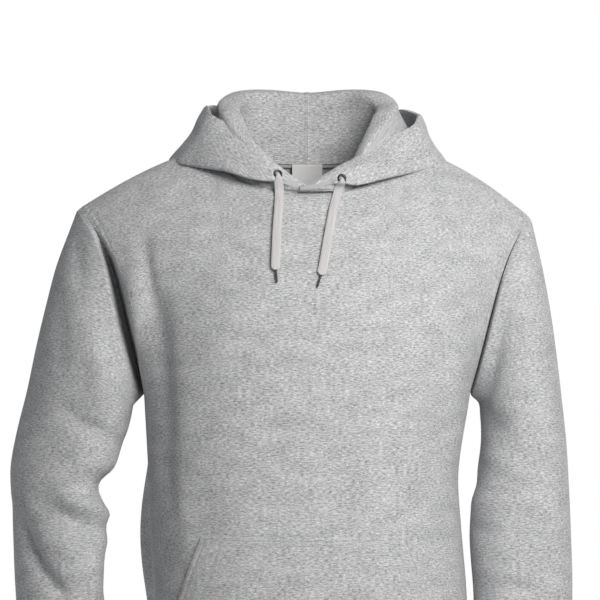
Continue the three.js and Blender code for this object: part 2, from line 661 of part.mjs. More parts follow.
// Trunk and sleeves, with normals shared where pieces meet
const body = { front: bodyGrid('front'), back: bodyGrid('back') };
const sleeves = { left: sleeveGrid('left', body), right: sleeveGrid('right', body) };
const pieces = [
  { name: 'front', grid: body.front, wrap: false, within: trunkMiddle, edges: ['start', 'end', 'top'] },
  { name: 'back', grid: body.back, wrap: false, within: trunkMiddle, edges: ['start', 'end', 'top'] },
  ...sides.map((side) => ({
    name: `sleeve_${side}`,
    grid: sleeves[side],
    wrap: true,
    within: ringMiddle(sleeves[side]),
    edges: ['bottom'],
  })),
];
const keyOf = (at) => `${at.x.toFixed(2)} ${at.y.toFixed(2)} ${at.z.toFixed(2)}`;
const shared = new Map();
for (const piece of pieces) {
  piece.normals = gridNormals(piece.grid, piece.wrap, piece.within);
  piece.grid.forEach((column, i) =>
    column.forEach((at, j) => {
      const key = keyOf(at);
      if (!shared.has(key)) shared.set(key, new THREE.Vector3());
      shared.get(key).add(piece.normals[i][j]);
    }),
  );
}
for (const piece of pieces) {
  // Where two pieces meet in a deep valley, as under the arm, each keeps its own direction.
  const normals = piece.grid.map((column, i) =>
    column.map((at, j) => {
      const common = shared.get(keyOf(at)).clone().normalize();
      return common.dot(piece.normals[i][j]) > VALLEY ? common : piece.normals[i][j];
    }),
  );
  const outer = piece.grid.map((column) => column.map((at) => at.clone()));
  const inner = moveIn(outer, normals, FLEECE);
  drawBack([outer, inner], piece.edges, EDGE_BACK, piece.grid);
  piece.outer = outer;
  piece.inner = inner;
  piece.shared = normals;
  addPiece(piece.name, wallGeometry(outer, inner, piece.wrap, piece.grid), cloth());
}

// Hood shell and lining
const hoods = {};
for (const side of sides) {
  const grid = hoodGrid(side);
  // The shell looks away from the neck at its seam, and the whole sheet turns with it.
  const facing = gridNormals(grid, false, () => point(0, 0, 0));
  const middle = Math.floor(grid.length / 2);
  const radial = hoodDirection((HOOD_END[side] * middle) / HOOD_STEPS, side);
  if (facing[middle][1].dot(radial) < 0) facing.flat().forEach((normal) => normal.negate());
  const normals = evenNormals(facing, 2);
  // Its two halves mirror each other at the seam down the middle of the back.
  for (const normal of normals[0]) normal.setX(0).normalize();
  const layer = (from, to) => {
    const outer = moveIn(grid, normals, from);
    const inner = moveIn(grid, normals, to);
    drawBack([outer, inner], ['start'], EDGE_BACK, grid);
    drawBack([outer, inner], ['bottom'], HOOD_EDGE_BACK, grid);
    return [outer, inner];
  };
  const [outer, inner] = layer(0, HOOD_SHELL);
  const lining = layer(HOOD_SHELL + HOOD_PLY_GAP, HOOD_SHELL + HOOD_PLY_GAP + HOOD_LINING);
  hoods[side] = { grid, normals: facing };
  addPiece(`hood_${side}`, wallGeometry(outer, inner, false, grid), cloth());
  addPiece(`hood_lining_${side}`, wallGeometry(...lining, false, grid), cloth());
}

// Ribbed waistband
function ribbedTube(count, heights, sectionAt) {
  const layer = (outAt) =>
    range(2 * count, (i) => heights.map((height) => sectionAt(i / (2 * count), height, outAt(i))));
  const outer = layer((i) => (i % 2 ? 0 : -RIB_RELIEF));
  return wallGeometry(outer, layer(() => -RIB_KNIT), true);
}

// Turns round a closed line that are equal shares of its length apart
function evenTurns(pointAt) {
  const steps = 720;
  const fine = range(steps + 1, (k) => pointAt(k / steps));
  const lengths = [0];
  for (let k = 1; k <= steps; k++) lengths.push(lengths[k - 1] + fine[k].distanceTo(fine[k - 1]));
  const total = lengths[steps];
  return {
    total,
    at: (share) => {
      const wanted = share * total;
      let k = 1;
      while (k < steps && lengths[k] < wanted) k++;
      return (k - 1 + (wanted - lengths[k - 1]) / (lengths[k] - lengths[k - 1])) / steps;
    },
  };
}

function bandPoint(turn, height, out) {
  const angle = turn * 2 * Math.PI;
  const s = Math.sin(angle);
  const c = Math.cos(angle);
  const inset = BAND.drawIn * height;
  const depth = c < 0 ? SIDE_Y - BAND.front : BAND.back - SIDE_Y;
  const x = BAND.midX + (BAND.halfX - inset + out) * bow(s, TRUNK_POWER);
  const y = SIDE_Y + (depth - inset + out) * bow(c, TRUNK_POWER);
  return point(x, y, HEM_Z - SEAM_GAP - BAND_HEIGHT * height);
}
const bandTurns = evenTurns((turn) => bandPoint(turn, 0.5, 0));
const bandRibs = Math.round(bandTurns.total / RIB_PITCH);
addPiece(
  'waistband',
  ribbedTube(bandRibs, [0, 1], (share, height, out) => bandPoint(bandTurns.at(share), height, out)),
  cloth(),
);

// Ribbed cuffs
for (const side of sides) {
  const end = rowAt(SLEEVE[side], 'at', 1);
  const before = rowAt(SLEEVE[side], 'at', 0.9);
  const centre = point((end.outX + end.inX) / 2, end.midY, (end.outZ + end.inZ) / 2);
  const above = point((before.outX + before.inX) / 2, before.midY, (before.outZ + before.inZ) / 2);
  const across = point(end.outX - end.inX, 0, end.outZ - end.inZ).normalize();
  const deep = point(0, 1, 0);
  const down = across.clone().cross(deep);
  if (down.z > 0) down.negate();
  const lean = centre.clone().sub(above).normalize();
  const cuffPoint = (turn, height, out) => {
    const angle = turn * 2 * Math.PI;
    const shrink = CUFF.taper * height;
    return centre
      .clone()
      .addScaledVector(across, (CUFF.halfX - shrink + out) * Math.cos(angle))
      .addScaledVector(deep, (CUFF.halfY - shrink + out) * Math.sin(angle))
      .addScaledVector(height > 0 ? lean : down, height > 0 ? CUFF_LENGTH * height : 0)
      .addScaledVector(down, SEAM_GAP);
  };
  const turns = evenTurns((turn) => cuffPoint(turn, 0.5, 0));
  const ribs = Math.round(turns.total / RIB_PITCH);
  addPiece(
    `cuff_${side}`,
    ribbedTube(ribs, [0, 1], (share, height, out) => cuffPoint(turns.at(share), height, out)),
    cloth(),
  );
}

// Turns a closed geometry into a solid for cutting, and back
function solidOf(geometry) {
  const bare = new THREE.BufferGeometry();
  bare.setAttribute('position', geometry.getAttribute('position'));
  if (geometry.getIndex()) bare.setIndex(geometry.getIndex());
  const merged = mergeVertices(bare, 1e-4);
  const mesh = new wasm.Mesh({
    numProp: 3,
    vertProperties: new Float32Array(merged.getAttribute('position').array),
    triVerts: new Uint32Array(merged.getIndex().array),
  });
  return new wasm.Manifold(mesh);
}

function geometryOf(solid) {
  const mesh = solid.getMesh();
  const geometry = new THREE.BufferGeometry();
  geometry.setAttribute('position', new THREE.BufferAttribute(new Float32Array(mesh.vertProperties), 3));
  geometry.setIndex(new THREE.BufferAttribute(new Uint32Array(mesh.triVerts), 1));
  return geometry;
}

// Kangaroo pocket: a sheet that follows the front panel's own facets, cut to the pocket's outline. It
// stands off the panel a little more at its two slanted openings.
function pocketHalf(z) {
  const start = POCKET.bottom + POCKET.straight;
  if (z <= start) return POCKET.bottomHalf;
  return mix(POCKET.bottomHalf, POCKET.topHalf, (z - start) / (POCKET.top - start));
}

function pocketGeometry() {
  const { grid, shared: normals } = pieces[0];
  const start = POCKET.bottom + POCKET.straight;
  const gape = (at) => {
    const climb = THREE.MathUtils.clamp((at.z - start) / (POCKET.top - start), 0, 1);
    const aside = THREE.MathUtils.clamp(Math.abs(at.x - POCKET.midX) / pocketHalf(at.z), 0, 1.2);
    return POCKET.mouth * Math.sin(Math.PI * climb) * aside ** 3;
  };
  const sheet = (lift) => {
    const raised = raise(grid, normals, (at) => lift + gape(at));
    return raised.map((column) => column.slice(0, ROWS_BELOW + 1));
  };
  const outline = new THREE.Shape(
    [
      [-POCKET.bottomHalf, POCKET.bottom],
      [POCKET.bottomHalf, POCKET.bottom],
      [POCKET.bottomHalf, start],
      [POCKET.topHalf, POCKET.top],
      [-POCKET.topHalf, POCKET.top],
      [-POCKET.bottomHalf, start],
    ].map(([x, z]) => new THREE.Vector2(POCKET.midX + x, z)),
  );
  const cutter = new THREE.ExtrudeGeometry(outline, { depth: 200, bevelEnabled: false });
  cutter.rotateX(Math.PI / 2).translate(0, 20, 0);
  const whole = wallGeometry(sheet(POCKET.lift + FLEECE), sheet(POCKET.lift), false, grid);
  return geometryOf(solidOf(whole).intersect(solidOf(cutter)));
}
addPiece('pocket', pocketGeometry(), cloth());

// Eyelets, set in holes through the hood's shell, and the drawcord ends that hang from them
function eyeletProfile() {
  const { hole, ring, barrel, height, depth } = EYELET;
  const outline = [
    [hole, -depth],
    [barrel, -depth],
    [barrel, 0.5],
    [ring, 0.5],
    [ring - 0.3, height],
    [ring - 1.2, height + 0.3],
    [hole, height - 0.2],
    [hole, -depth],
  ];
  return outline.map(([r, z]) => new THREE.Vector2(r, z));
}

for (const side of sides) {
  const { grid, normals } = hoods[side];
  const u = EYELET_AT[side].angle / HOOD_END[side];
  const place = gridPoint(grid, u, EYELET_AT[side].along);
  const normal = gridPoint(normals, u, EYELET_AT[side].along).normalize();
  const turnTo = new THREE.Quaternion().setFromUnitVectors(point(0, 1, 0), normal);
  const hole = new THREE.CylinderGeometry(EYELET.barrel + 0.3, EYELET.barrel + 0.3, 8, 16);
  hole.applyQuaternion(turnTo).translate(...place);
  const shell = hoodie.getObjectByName(`hood_${side}`);
  const bare = new THREE.BufferGeometry();
  bare.setAttribute('position', hole.getAttribute('position'));
  bare.setIndex(hole.getIndex());
  shell.geometry = geometryOf(solidOf(shell.geometry).subtract(solidOf(bare)));
  const ring = new THREE.LatheGeometry(eyeletProfile(), 16);
  ring.applyQuaternion(turnTo).translate(...place);
  addPiece(`eyelet_${side}`, ring, metal());
  hoods[side].eyelet = { place, normal };
}

// What lies under a cord: the foremost facet of the front panel and the hood at a place in the front view
function frontmost(x, z) {
  let best = 0;
  for (const grid of [body.front, hoods.left.grid, hoods.right.grid]) {
    for (let i = 0; i < grid.length - 1; i++) {
      for (let j = 0; j < grid[0].length - 1; j++) {
        const corners = [grid[i][j], grid[i + 1][j], grid[i + 1][j + 1], grid[i][j + 1]];
        for (const [a, b, c] of [[0, 1, 2], [0, 2, 3]]) {
          const [p, q, r] = [corners[a], corners[b], corners[c]];
          const area = (q.x - p.x) * (r.z - p.z) - (r.x - p.x) * (q.z - p.z);
          const s = ((x - p.x) * (r.z - p.z) - (r.x - p.x) * (z - p.z)) / area;
          const t = ((q.x - p.x) * (z - p.z) - (x - p.x) * (q.z - p.z)) / area;
          if (s < 0 || t < 0 || s + t > 1) continue;
          best = Math.min(best, p.y + s * (q.y - p.y) + t * (r.y - p.y));
        }
      }
    }
  }
  return best;
}

function cordGeometry(side) {
  const { place, normal } = hoods[side].eyelet;
  const start = place.clone().addScaledVector(normal, EYELET.height + 0.6);
  const clear = (x, z) => Math.min(...[-4, 0, 4].map((aside) => frontmost(x + aside, z))) - CORD.offChest;
  const route = CORD_ROUTE[side].map(({ x, z }) => point(x, clear(x, z), z));
  const out = start.clone().addScaledVector(normal, 2.8).add(point(0, 0, -2));
  const curve = new THREE.CatmullRomCurve3([start, out, ...route], false, 'centripetal');
  const steps = 16;
  const length = curve.getLength();
  const rings = range(steps + 1, (k) => {
    const t = k / steps;
    const at = curve.getPointAt(t);
    const tangent = curve.getTangentAt(t);
    const across = point(1, 0, 0).addScaledVector(tangent, -tangent.x).normalize();
    const away = tangent.clone().cross(across).normalize();
    const left = (1 - t) * length;
    const throat = Math.min(1, (t * length) / 9);
    let half = (CORD.width / 2) * mix(0.52, 1, smooth(throat));
    if (left < CORD.tipLength) half = CORD.tip / 2;
    const thick = CORD.thick / 2;
    const outline = [
      [-half, 0],
      [-half * 0.8, thick],
      [half * 0.8, thick],
      [half, 0],
      [half * 0.8, -thick],
      [-half * 0.8, -thick],
    ];
    return outline.map(([a, b]) => at.clone().addScaledVector(across, a).addScaledVector(away, b));
  });
  return rings;
}

// A solid through rings of points, closed at both ends
function loftGeometry(rings) {
  const sidesOfRing = rings[0].length;
  const positions = rings.flat().flatMap((at) => [...at]);
  const faces = [];
  for (let k = 0; k < rings.length - 1; k++) {
    for (let n = 0; n < sidesOfRing; n++) {
      const a = k * sidesOfRing + n;
      const b = k * sidesOfRing + ((n + 1) % sidesOfRing);
      faces.push(a, b, b + sidesOfRing, a, b + sidesOfRing, a + sidesOfRing);
    }
  }
  const end = (rings.length - 1) * sidesOfRing;
  for (let n = 1; n < sidesOfRing - 1; n++) {
    faces.push(0, n + 1, n);
    faces.push(end, end + n, end + n + 1);
  }
  const geometry = new THREE.BufferGeometry();
  geometry.setAttribute('position', new THREE.Float32BufferAttribute(positions, 3));
  geometry.setIndex(faces);
  if (signedVolume(geometry) < 0) {
    for (let k = 0; k < faces.length; k += 3) [faces[k + 1], faces[k + 2]] = [faces[k + 2], faces[k + 1]];
    geometry.setIndex(faces);
  }
  return geometry;
}
for (const side of sides) {
  addPiece(`drawcord_${side}`, loftGeometry(cordGeometry(side)), cloth(CORD_GREY));
}

// Neck tape and label, on the inside of the back panel
const backPiece = pieces[1];
function backInside(across, drop) {
  const rows = ROWS_BELOW + ROWS_ABOVE;
  const u = (across + 1) / 2;
  const top = gridPoint(backPiece.inner, u, 1);
  let v = 1;
  while (gridPoint(backPiece.inner, u, v).distanceTo(top) < drop && v > 0.6) v -= 0.02 / rows;
  return { place: gridPoint(backPiece.inner, u, v), normal: gridPoint(backPiece.shared, u, v).normalize() };
}

function insidePatch(half, drops, columns, from, to) {
  const layer = (depth) =>
    range(columns + 1, (i) =>
      drops.map((drop) => {
        const at = backInside(half * ((2 * i) / columns - 1), drop);
        return at.place.addScaledVector(at.normal, -depth);
      }),
    );
  return wallGeometry(layer(from), layer(to), false);
}
const acrossPerMm = NECK_SHARE / 118;
addPiece(
  'neck_tape',
  insidePatch(TAPE.reach * acrossPerMm, [1, 1 + TAPE.width], 12, LAYER_GAP, LAYER_GAP + TAPE.thick),
  cloth(TAPE_GREY),
);
addPiece(
  'label',
  insidePatch(
    (LABEL.width / 2) * acrossPerMm,
    [3, 18, 33, 3 + LABEL.height],
    4,
    2 * LAYER_GAP + TAPE.thick + 0.2,
    2 * LAYER_GAP + TAPE.thick + 0.2 + LABEL.thick,
  ),
  cloth(LABEL_GREY),
);

export default hoodie;
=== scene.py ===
"""A pullover hoodie in heather grey fleece, with its hood down, dressed over its construction model."""

import math
from functools import partial

import bmesh
import bpy
import numpy as np
from bpy.props import FloatProperty, FloatVectorProperty, PointerProperty
from bpy.types import Operator, Panel, PropertyGroup
from mathutils import Matrix, Vector
from mathutils.bvhtree import BVHTree


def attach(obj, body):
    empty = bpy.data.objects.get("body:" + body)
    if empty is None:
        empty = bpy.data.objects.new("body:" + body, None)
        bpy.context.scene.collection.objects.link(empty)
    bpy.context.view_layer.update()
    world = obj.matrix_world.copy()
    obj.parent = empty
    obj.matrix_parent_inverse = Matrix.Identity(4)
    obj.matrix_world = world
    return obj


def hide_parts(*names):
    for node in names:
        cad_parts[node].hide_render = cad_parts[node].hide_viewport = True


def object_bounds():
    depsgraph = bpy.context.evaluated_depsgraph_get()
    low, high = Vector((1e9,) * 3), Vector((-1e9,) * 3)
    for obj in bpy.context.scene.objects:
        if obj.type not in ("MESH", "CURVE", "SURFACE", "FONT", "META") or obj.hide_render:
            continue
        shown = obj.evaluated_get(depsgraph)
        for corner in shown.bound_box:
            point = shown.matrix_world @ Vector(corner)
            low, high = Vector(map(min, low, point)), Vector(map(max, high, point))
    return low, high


bl_info = {
    "name": "Pullover hoodie",
    "version": (1, 0, 0),
    "blender": (4, 5, 0),
    "location": "View3D > Sidebar > Hoodie",
    "description": "Models the cloth, ribbing, sewing and cord of a heather fleece hoodie",
    "category": "Add Mesh",
}

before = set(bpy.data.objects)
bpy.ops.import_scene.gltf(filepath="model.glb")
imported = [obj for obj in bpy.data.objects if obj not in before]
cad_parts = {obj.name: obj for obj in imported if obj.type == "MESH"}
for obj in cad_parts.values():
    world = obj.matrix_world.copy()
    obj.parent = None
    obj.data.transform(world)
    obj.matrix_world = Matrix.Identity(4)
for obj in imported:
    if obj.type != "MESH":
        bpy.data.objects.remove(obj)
CAD_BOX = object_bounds()

# Every size of the cut is in millimetres, in the garment's own frame, and MM turns it into metres.
MM = 0.001
SIDES = ("left", "right")
# How near to its seam a cloth's edge rolls in
EDGE_REACH = 2.6
SIGN = {"left": -1, "right": 1}

# Body lengths, and how the panels are divided from hem to shoulder
HEM_Z = -640
TURN_IN_Z = -626
ARMPIT_Z = -295
BAND_HEIGHT = 64
CUFF_LENGTH = 60
ROWS_BELOW = 9
ROWS_ABOVE = 12
ROWS = ROWS_BELOW + ROWS_ABOVE
# How finely a panel and a sleeve are divided, and how much their steps crowd together at the edges
BODY_FINE = {"across": 150, "across_crowd": 0.75, "along": 200, "along_crowd": 0.5}
SLEEVE_FINE = {"along": 130, "crowd": 0.6}
# The share of a panel's width below the neck, and how its edge is evened out below the neck's corners
NECK_SHARE = 0.5
NECK_ANGLE = 30
NECK_BLEND = {"spread": 0.09, "near": 0.16, "rows": 5, "samples": 5, "fade": 0.6}

# Neckline, and how round the cloth falls from the shoulder line
NECK = {
    "half_width": 108, "side_y": 6,
    "front_drop": 62, "back_drop": 18, "front_curve": 0.7, "back_curve": 0.8,
}
OVER_NECK = 27
FALL = {"front": {"neck": 1.6, "shoulder": 1.15}, "back": {"neck": 1.06, "shoulder": 1.0}}

# The trunk's level sections: where its sides, front and back lie at each height
TRUNK_NAMES = ("z", "left", "right", "front", "back")
TRUNK_ROWS = (
    (-640, -166, 172, -130, 124),
    (-625, -174, 182, -140, 133),
    (-600, -179, 188, -147, 140),
    (-521, -181, 186, -150, 143),
    (-450, -184, 180, -149, 140),
    (-386, -187, 177, -148, 135),
    (-295, -192, 190, -146, 127),
)
SIDE_Y = 8
MID_Z = -360
TRUNK_POWER = 0.84

# The armholes
ARMHOLE = {
    "left": {"x": -270, "z": -78, "spread": 50, "forward": 60, "backward": 66, "crown": 7},
    "right": {"x": 262, "z": -88, "spread": 50, "forward": 60, "backward": 66, "crown": 11},
}
SHOULDER_Y = 6
CAP_POWER = 6
# How sharply a panel's width follows the armhole, at the armpit and at the shoulder
ARMHOLE_PULL = {"low": 8, "high": 2.4}

# The sleeves: each section hangs between a point on the outer outline and one on the inner outline
SLEEVE_NAMES = ("at", "out_x", "out_z", "in_x", "in_z", "mid_y", "half")
SLEEVE_ROWS = {
    "left": (
        (0.07, -281, -104, -199, -303, 6, 66),
        (0.16, -297, -145, -202, -306, 6, 69),
        (0.25, -309, -190, -204, -309, 6, 71),
        (0.34, -321, -240, -205, -314, 7, 70),
        (0.43, -332, -292, -207, -324, 8, 67),
        (0.51, -344, -340, -213, -346, 8, 64),
        (0.57, -351, -380, -226, -378, 5, 62),
        (0.63, -350, -414, -238, -408, 0, 60),
        (0.70, -347, -455, -234, -448, -8, 58),
        (0.80, -343, -515, -239, -504, -20, 55),
        (0.90, -335, -575, -234, -564, -31, 51),
        (1.00, -318, -632, -240, -624, -40, 37),
    ),
    "right": (
        (0.07, 268, -112, 197, -303, 6, 66),
        (0.16, 276, -150, 200, -306, 6, 69),
        (0.25, 285, -200, 202, -311, 6, 71),
        (0.34, 292, -250, 203, -321, 6, 70),
        (0.43, 298, -302, 204, -338, 5, 67),
        (0.51, 303, -350, 203, -362, 3, 64),
        (0.60, 306, -405, 196, -406, 0, 61),
        (0.70, 308, -462, 190, -458, -5, 58),
        (0.80, 309, -520, 193, -512, -11, 55),
        (0.90, 306, -578, 198, -570, -18, 51),
        (1.00, 290, -634, 211, -628, -24, 37),
    ),
}
SLEEVE_RINGS = 16
SLEEVE_POWER = 0.92
# The share of a sleeve's length in which it passes from the armhole's shape to its own
SLEEVE_START = 0.2

# Ribbing
RIB_PITCH = 8
RIB_RELIEF = 0.9
RIB_FINE = {"rows": 26, "per_rib": 8, "crowd": 0.7}
RIB_ROLL = {"depth": 1.2, "height": 64, "reach": 2.0}
BAND = {"half_x": 168, "mid_x": 3, "front": -129, "back": 123, "draw_in": 5}
CUFF = {"half_x": 38, "half_y": 35, "taper": 2}
SEAM_GAP = 0.3

# The hood, cut through at angles round the neck from the middle of the back
HOOD_NAMES = (
    "angle", "fold_out", "fold_up", "fold_half", "bag_out", "bag_up", "bag_half", "mid_out", "mid_up",
    "edge_out", "edge_up", "plain", "right_out", "right_up",
)
HOOD_ROWS = (
    (0, 18, 82, 12, 80, -166, 10, 103, -90, 92, 44, 0, 0, 0),
    (25, 14, 84, 12, 78, -136, 10, 98, -66, 78, 55, 0, 0, 0),
    (50, 1, 77, 12, 66, -66, 9, 68, -14, 40, 62, 0, 5, -4),
    (70, -8, 63, 11, 55, -29, 9, 44, 12, 22, 55, 0, 9, -7),
    (90, -14, 47, 10, 43, -10, 9, 29, 12, 11, 45, 0, 13, -10),
    (100, -15, 54, 9, 24, 1.8, 9, 23, 22, 4, 49, 0, 11, -13),
    (112, -14, 53, 7, 14, 3, 8, 14, 28, -7, 51, 0, 7, -14),
    (123, -13, 46, 5, 11, 5, 7, 11, 28, -10, 50, 0, 5, -13),
    (135, -11, 33, 4, 10, 6, 6, 9, 28, -11, 47, 0, 4, -12),
    (142, -7, 22, 4, 9, 6, 5, 8, 27, -9, 44, 0, 3, -10),
    (149, -3, 16, 3.5, 9, 6, 5, 8, 24, -6, 39, 0.05, 2, -7),
    (157, 0, 12, 3.5, 8, 5, 4, 7, 20, -4, 33, 0.25, 0, -3),
    (170, 0, 10, 4, 6, 5, 4, 6, 15, -3, 20, 0.9, 0, 0),
    (181, 0, 8, 4, 6, 4, 4, 6, 12, -2, 9, 1, 0, 0),
    (197, 0, 8, 4, 6, 4, 4, 6, 12, -2, 7, 1, 0, 0),
)
# The flap's lower fold, seen from the front: heights at places across the chest
FLAP_HEM = {
    "left": ((-160, -24), (-93, -37), (-66, -46), (-40, -54), (-10, -58)),
    "right": ((10, -59), (50, -56), (90, -45), (155, -28)),
}
HOOD_BULGE = 6
HOOD_STEPS = 37
HOOD_COLUMNS = 12
HOOD_END = {"left": 195, "right": 184}
# The right side laps over the left one between two angles, and the cloth below the seam ends there
LAP = {"out": 6.8, "up": 0.4, "from": 146, "to": 164, "trim": 0.93}
NECK_ALLOWANCE = 5
PLY_GAP = 0.7
# The hood's own map turns to follow the flap past a share of its columns
HOOD_MAP = {"flap_row": 0.7, "turn": 0.42, "reach": 0.14, "right_offset": 3700}
HOOD_FINE = {"rows": 140, "rows_crowd": 0.5, "columns": 110, "columns_crowd": 0.55}
HOOD_EDGE = {"sink": 1.5, "reach": 2.4, "roll": 0.9, "roll_reach": 2.2, "lining_roll": 0.5}
EYELET_DIMPLE = {"depth": 1.7, "reach": 2.6}

# Kangaroo pocket
POCKET = {"top": -450, "bottom": -636, "top_half": 115, "bottom_half": 162, "straight": 48, "mid_x": -3.4}
POCKET_LIFT = 0.6
POCKET_MOUTH = 2.4
POCKET_FINE = {"across": 110, "along": 70, "crowd": 0.7}

# Eyelets, drawcord, tape and label
EYELET = {"hole": 2.9, "ring": 5.2, "height": 1.1, "depth": 1.6, "wall": 0.4, "turns": 40}
EYELET_AT = {"left": (161, 0.812), "right": (159.3, 0.775)}
# Where each cord hangs, as places across and up in the front view, after three that leave its eyelet
CORD_ROUTE = {
    "left": (
        (-33.4, -50), (-32.6, -61), (-33.2, -78), (-34.6, -98), (-35.8, -125), (-36.4, -147), (-35, -165),
    ),
    "right": (
        (36.4, -55), (33.4, -65), (29.4, -80), (25.4, -100), (20.8, -126), (16.6, -149), (10.6, -170),
    ),
}
CORD_START = ((-0.6, 0), (1.5, -0.8), (3.3, -4.4))
CORD_OFF = 2.6
CORD_GAP = 0.6
CORD_FINE = {"steps": 150, "around": 24}
CORD_THROAT = {"share": 0.42, "from": 2, "reach": 11}
# The tip's colour is the cord's own darkened by a share: partly a darker tip, partly painted shade.
CORD_TIP = {"width": 2.4, "length": 15, "shade": 0.13}
TAPE = {"width": 11, "reach": 62, "above": 3.4, "depth": 5.2, "thick": 0.8}
LABEL = {"width": 38, "height": 46, "below": 2, "depth": 6.4, "lean": 0.16, "thick": 0.7}
TRIM_SOFTEN = 0.25

# Large folds of the body, as in the construction, then the finer creases
FOLD_NAMES = ("x1", "z1", "x2", "z2", "height", "spread")
BODY_FOLDS = {
    "front": (
        (-172, -150, -160, -420, -7, 13),
        (-206, -135, -182, -300, 6, 12),
        (196, -130, 166, -330, 5, 16),
        (150, -230, 150, -420, -4, 20),
        (-120, -590, 140, -606, 5, 14),
    ),
    "back": (
        (-150, -230, -120, -470, -7, 18),
        (150, -230, 118, -480, -7, 18),
        (-178, -380, -184, -600, 12, 26),
        (-184, -330, -190, -690, 10, 9),
        (-110, -560, 120, -590, 7, 15),
        (-100, -500, 60, -520, -4, 15),
    ),
}
BODY_CREASES = {
    "front": (
        (-176, -330, -150, -440, -2.5, 9),
        (-150, -360, -128, -520, 2, 12),
        (182, -300, 150, -420, 2.5, 10),
        (160, -400, 130, -560, -2, 14),
        (-90, -560, -10, -612, -1.6, 8),
        (60, -598, 150, -560, -1.8, 8),
        (-60, -150, -120, -260, 1.2, 18),
        (70, -150, 128, -250, 1.0, 18),
        (-192, -96, -174, -222, -4.5, 8),
        (-120, -92, -150, -150, 1.4, 10),
        (170, -112, 196, -190, 2.0, 12),
        (-60, -330, 60, -352, -1.2, 16),
        (-40, -430, 110, -404, -1.4, 18),
    ),
    "back": (
        (-60, -120, 10, -190, -2, 14),
        (60, -110, 30, -220, -1.6, 13),
        (-170, -300, -110, -400, -3, 11),
        (172, -310, 110, -390, -3, 12),
        (-40, -590, 60, -610, -2, 8),
        (90, -470, 150, -560, 2.4, 12),
        (-20, -420, 70, -450, -1.6, 12),
    ),
}

# Folds of the sleeves: turn is the place round the sleeve, slant how much a fold climbs on its way
SLEEVE_FOLD_NAMES = ("z", "turn", "reach", "slant", "height", "spread")
SLEEVE_FOLDS = {
    "left": (
        (-372, 0.10, 0.17, 60, 5, 14),
        (-400, 0.06, 0.18, 60, -6, 12),
        (-428, 0.10, 0.18, 60, 6, 13),
        (-462, 0.06, 0.16, 60, 4, 12),
        (-560, 0.20, 0.30, -50, 5, 16),
        (-590, 0.75, 0.30, 40, 5, 15),
        (-405, 0.88, 0.25, 50, -6, 15),
    ),
    "right": (
        (-330, 0.12, 0.14, -120, -5, 18),
        (-420, 0.08, 0.20, -60, 4, 18),
        (-560, 0.20, 0.30, -50, 5, 16),
        (-590, 0.75, 0.30, 40, 5, 15),
        (-410, 0.88, 0.25, 50, -6, 15),
    ),
}
SLEEVE_CREASES = {
    "left": (
        (-448, 0.16, 0.13, -40, -2.6, 7),
        (-492, 0.22, 0.18, 46, 2.6, 9),
        (-520, 0.20, 0.20, 70, -3.2, 9),
        (-585, 0.15, 0.22, -60, -3, 9),
        (-606, 0.24, 0.26, 36, 2, 7),
        (-350, 0.84, 0.18, 60, -3, 10),
        (-470, 0.80, 0.22, -40, -3, 10),
        (-560, 0.70, 0.20, 60, -2.4, 9),
    ),
    "right": (
        (-372, 0.13, 0.12, -90, 2.2, 10),
        (-455, 0.15, 0.16, -50, -2.2, 9),
        (-520, 0.18, 0.20, 60, -2.6, 9),
        (-592, 0.17, 0.22, -50, -2.6, 8),
        (-350, 0.84, 0.18, 60, -3, 10),
        (-470, 0.80, 0.22, -40, -3, 10),
        (-560, 0.70, 0.20, 60, -2.4, 9),
    ),
}

# Creases on the sleeves' front, between two places of the front view
SLEEVE_FRONT_CREASES = {
    "left": (
        (-292, -308, -204, -358, -5.5, 8),
        (-320, -352, -262, -378, -2.5, 10),
        (-302, -396, -220, -444, 6, 6),
        (-326, -412, -218, -458, -7.5, 7),
        (-346, -412, -304, -508, -7, 9),
        (-330, -462, -266, -545, -7, 9),
        (-322, -446, -240, -492, 5, 12),
        (-238, -468, -252, -550, 5, 9),
        (-270, -96, -263, -190, -2.6, 9),
        (-290, -170, -282, -290, -2, 10),
        (-246, -200, -236, -330, 2.4, 12),
    ),
    "right": (
        (230, -186, 198, -334, -5, 8),
        (252, -170, 262, -300, 1.6, 14),
        (236, -420, 262, -520, -2.2, 12),
        (292, -400, 262, -500, 1.8, 12),
        (215, -500, 290, -548, -2.4, 10),
    ),
}
# How far a sleeve's outer side lies behind its inner side
SLEEVE_TWIST = {"left": 44, "right": -6}

# The deep fold where the arm hangs against the front: it widens down the armhole seam
ARM_FOLD = {
    "left": {"depth": 34, "top": -100, "low": -262, "narrow": 2.6, "wide": 20},
    "right": {"depth": 5, "top": -150, "low": -285, "narrow": 1.5, "wide": 4},
}
ARM_FOLD_END = 22
SLEEVE_STEEPER = 1.7

# Rows of stitches beside a seam, from its edge, and how the cloth dips and puckers at them
STITCH_ROWS = (5.0, 11.0)
STITCH_DIP = 0.6
DIP_REACH = 1.2
PUCKER = {"height": 0.4, "pitch": 9, "reach": 4.5}
HEM_ROWS = (4.0, 9.5)
NECK_ROW = 4.0
HOOD_SEAM_ROW = 3.2
# How far the middle of a stitch lies above the cloth: in its groove at an armhole, on plain cloth elsewhere
STITCH_LIFT = {"groove": -0.2, "cloth": 0.15, "pocket": 0.1}

# The pocket's rows of stitches, each from one place to another, across and up the pocket
POCKET_STITCHES = {
    "top_1": ((-0.98, 0.975), (0.98, 0.975)),
    "top_2": ((-0.98, 0.94), (0.98, 0.94)),
    "mouth_left_1": ((-0.955, 0.97), (-0.97, 0.27)),
    "mouth_left_2": ((-0.80, 0.97), (-0.85, 0.27)),
    "mouth_right_1": ((0.955, 0.97), (0.97, 0.27)),
    "mouth_right_2": ((0.80, 0.97), (0.85, 0.27)),
    "side_left": ((-0.975, 0.24), (-0.975, 0.02)),
    "side_right": ((0.975, 0.24), (0.975, 0.02)),
}

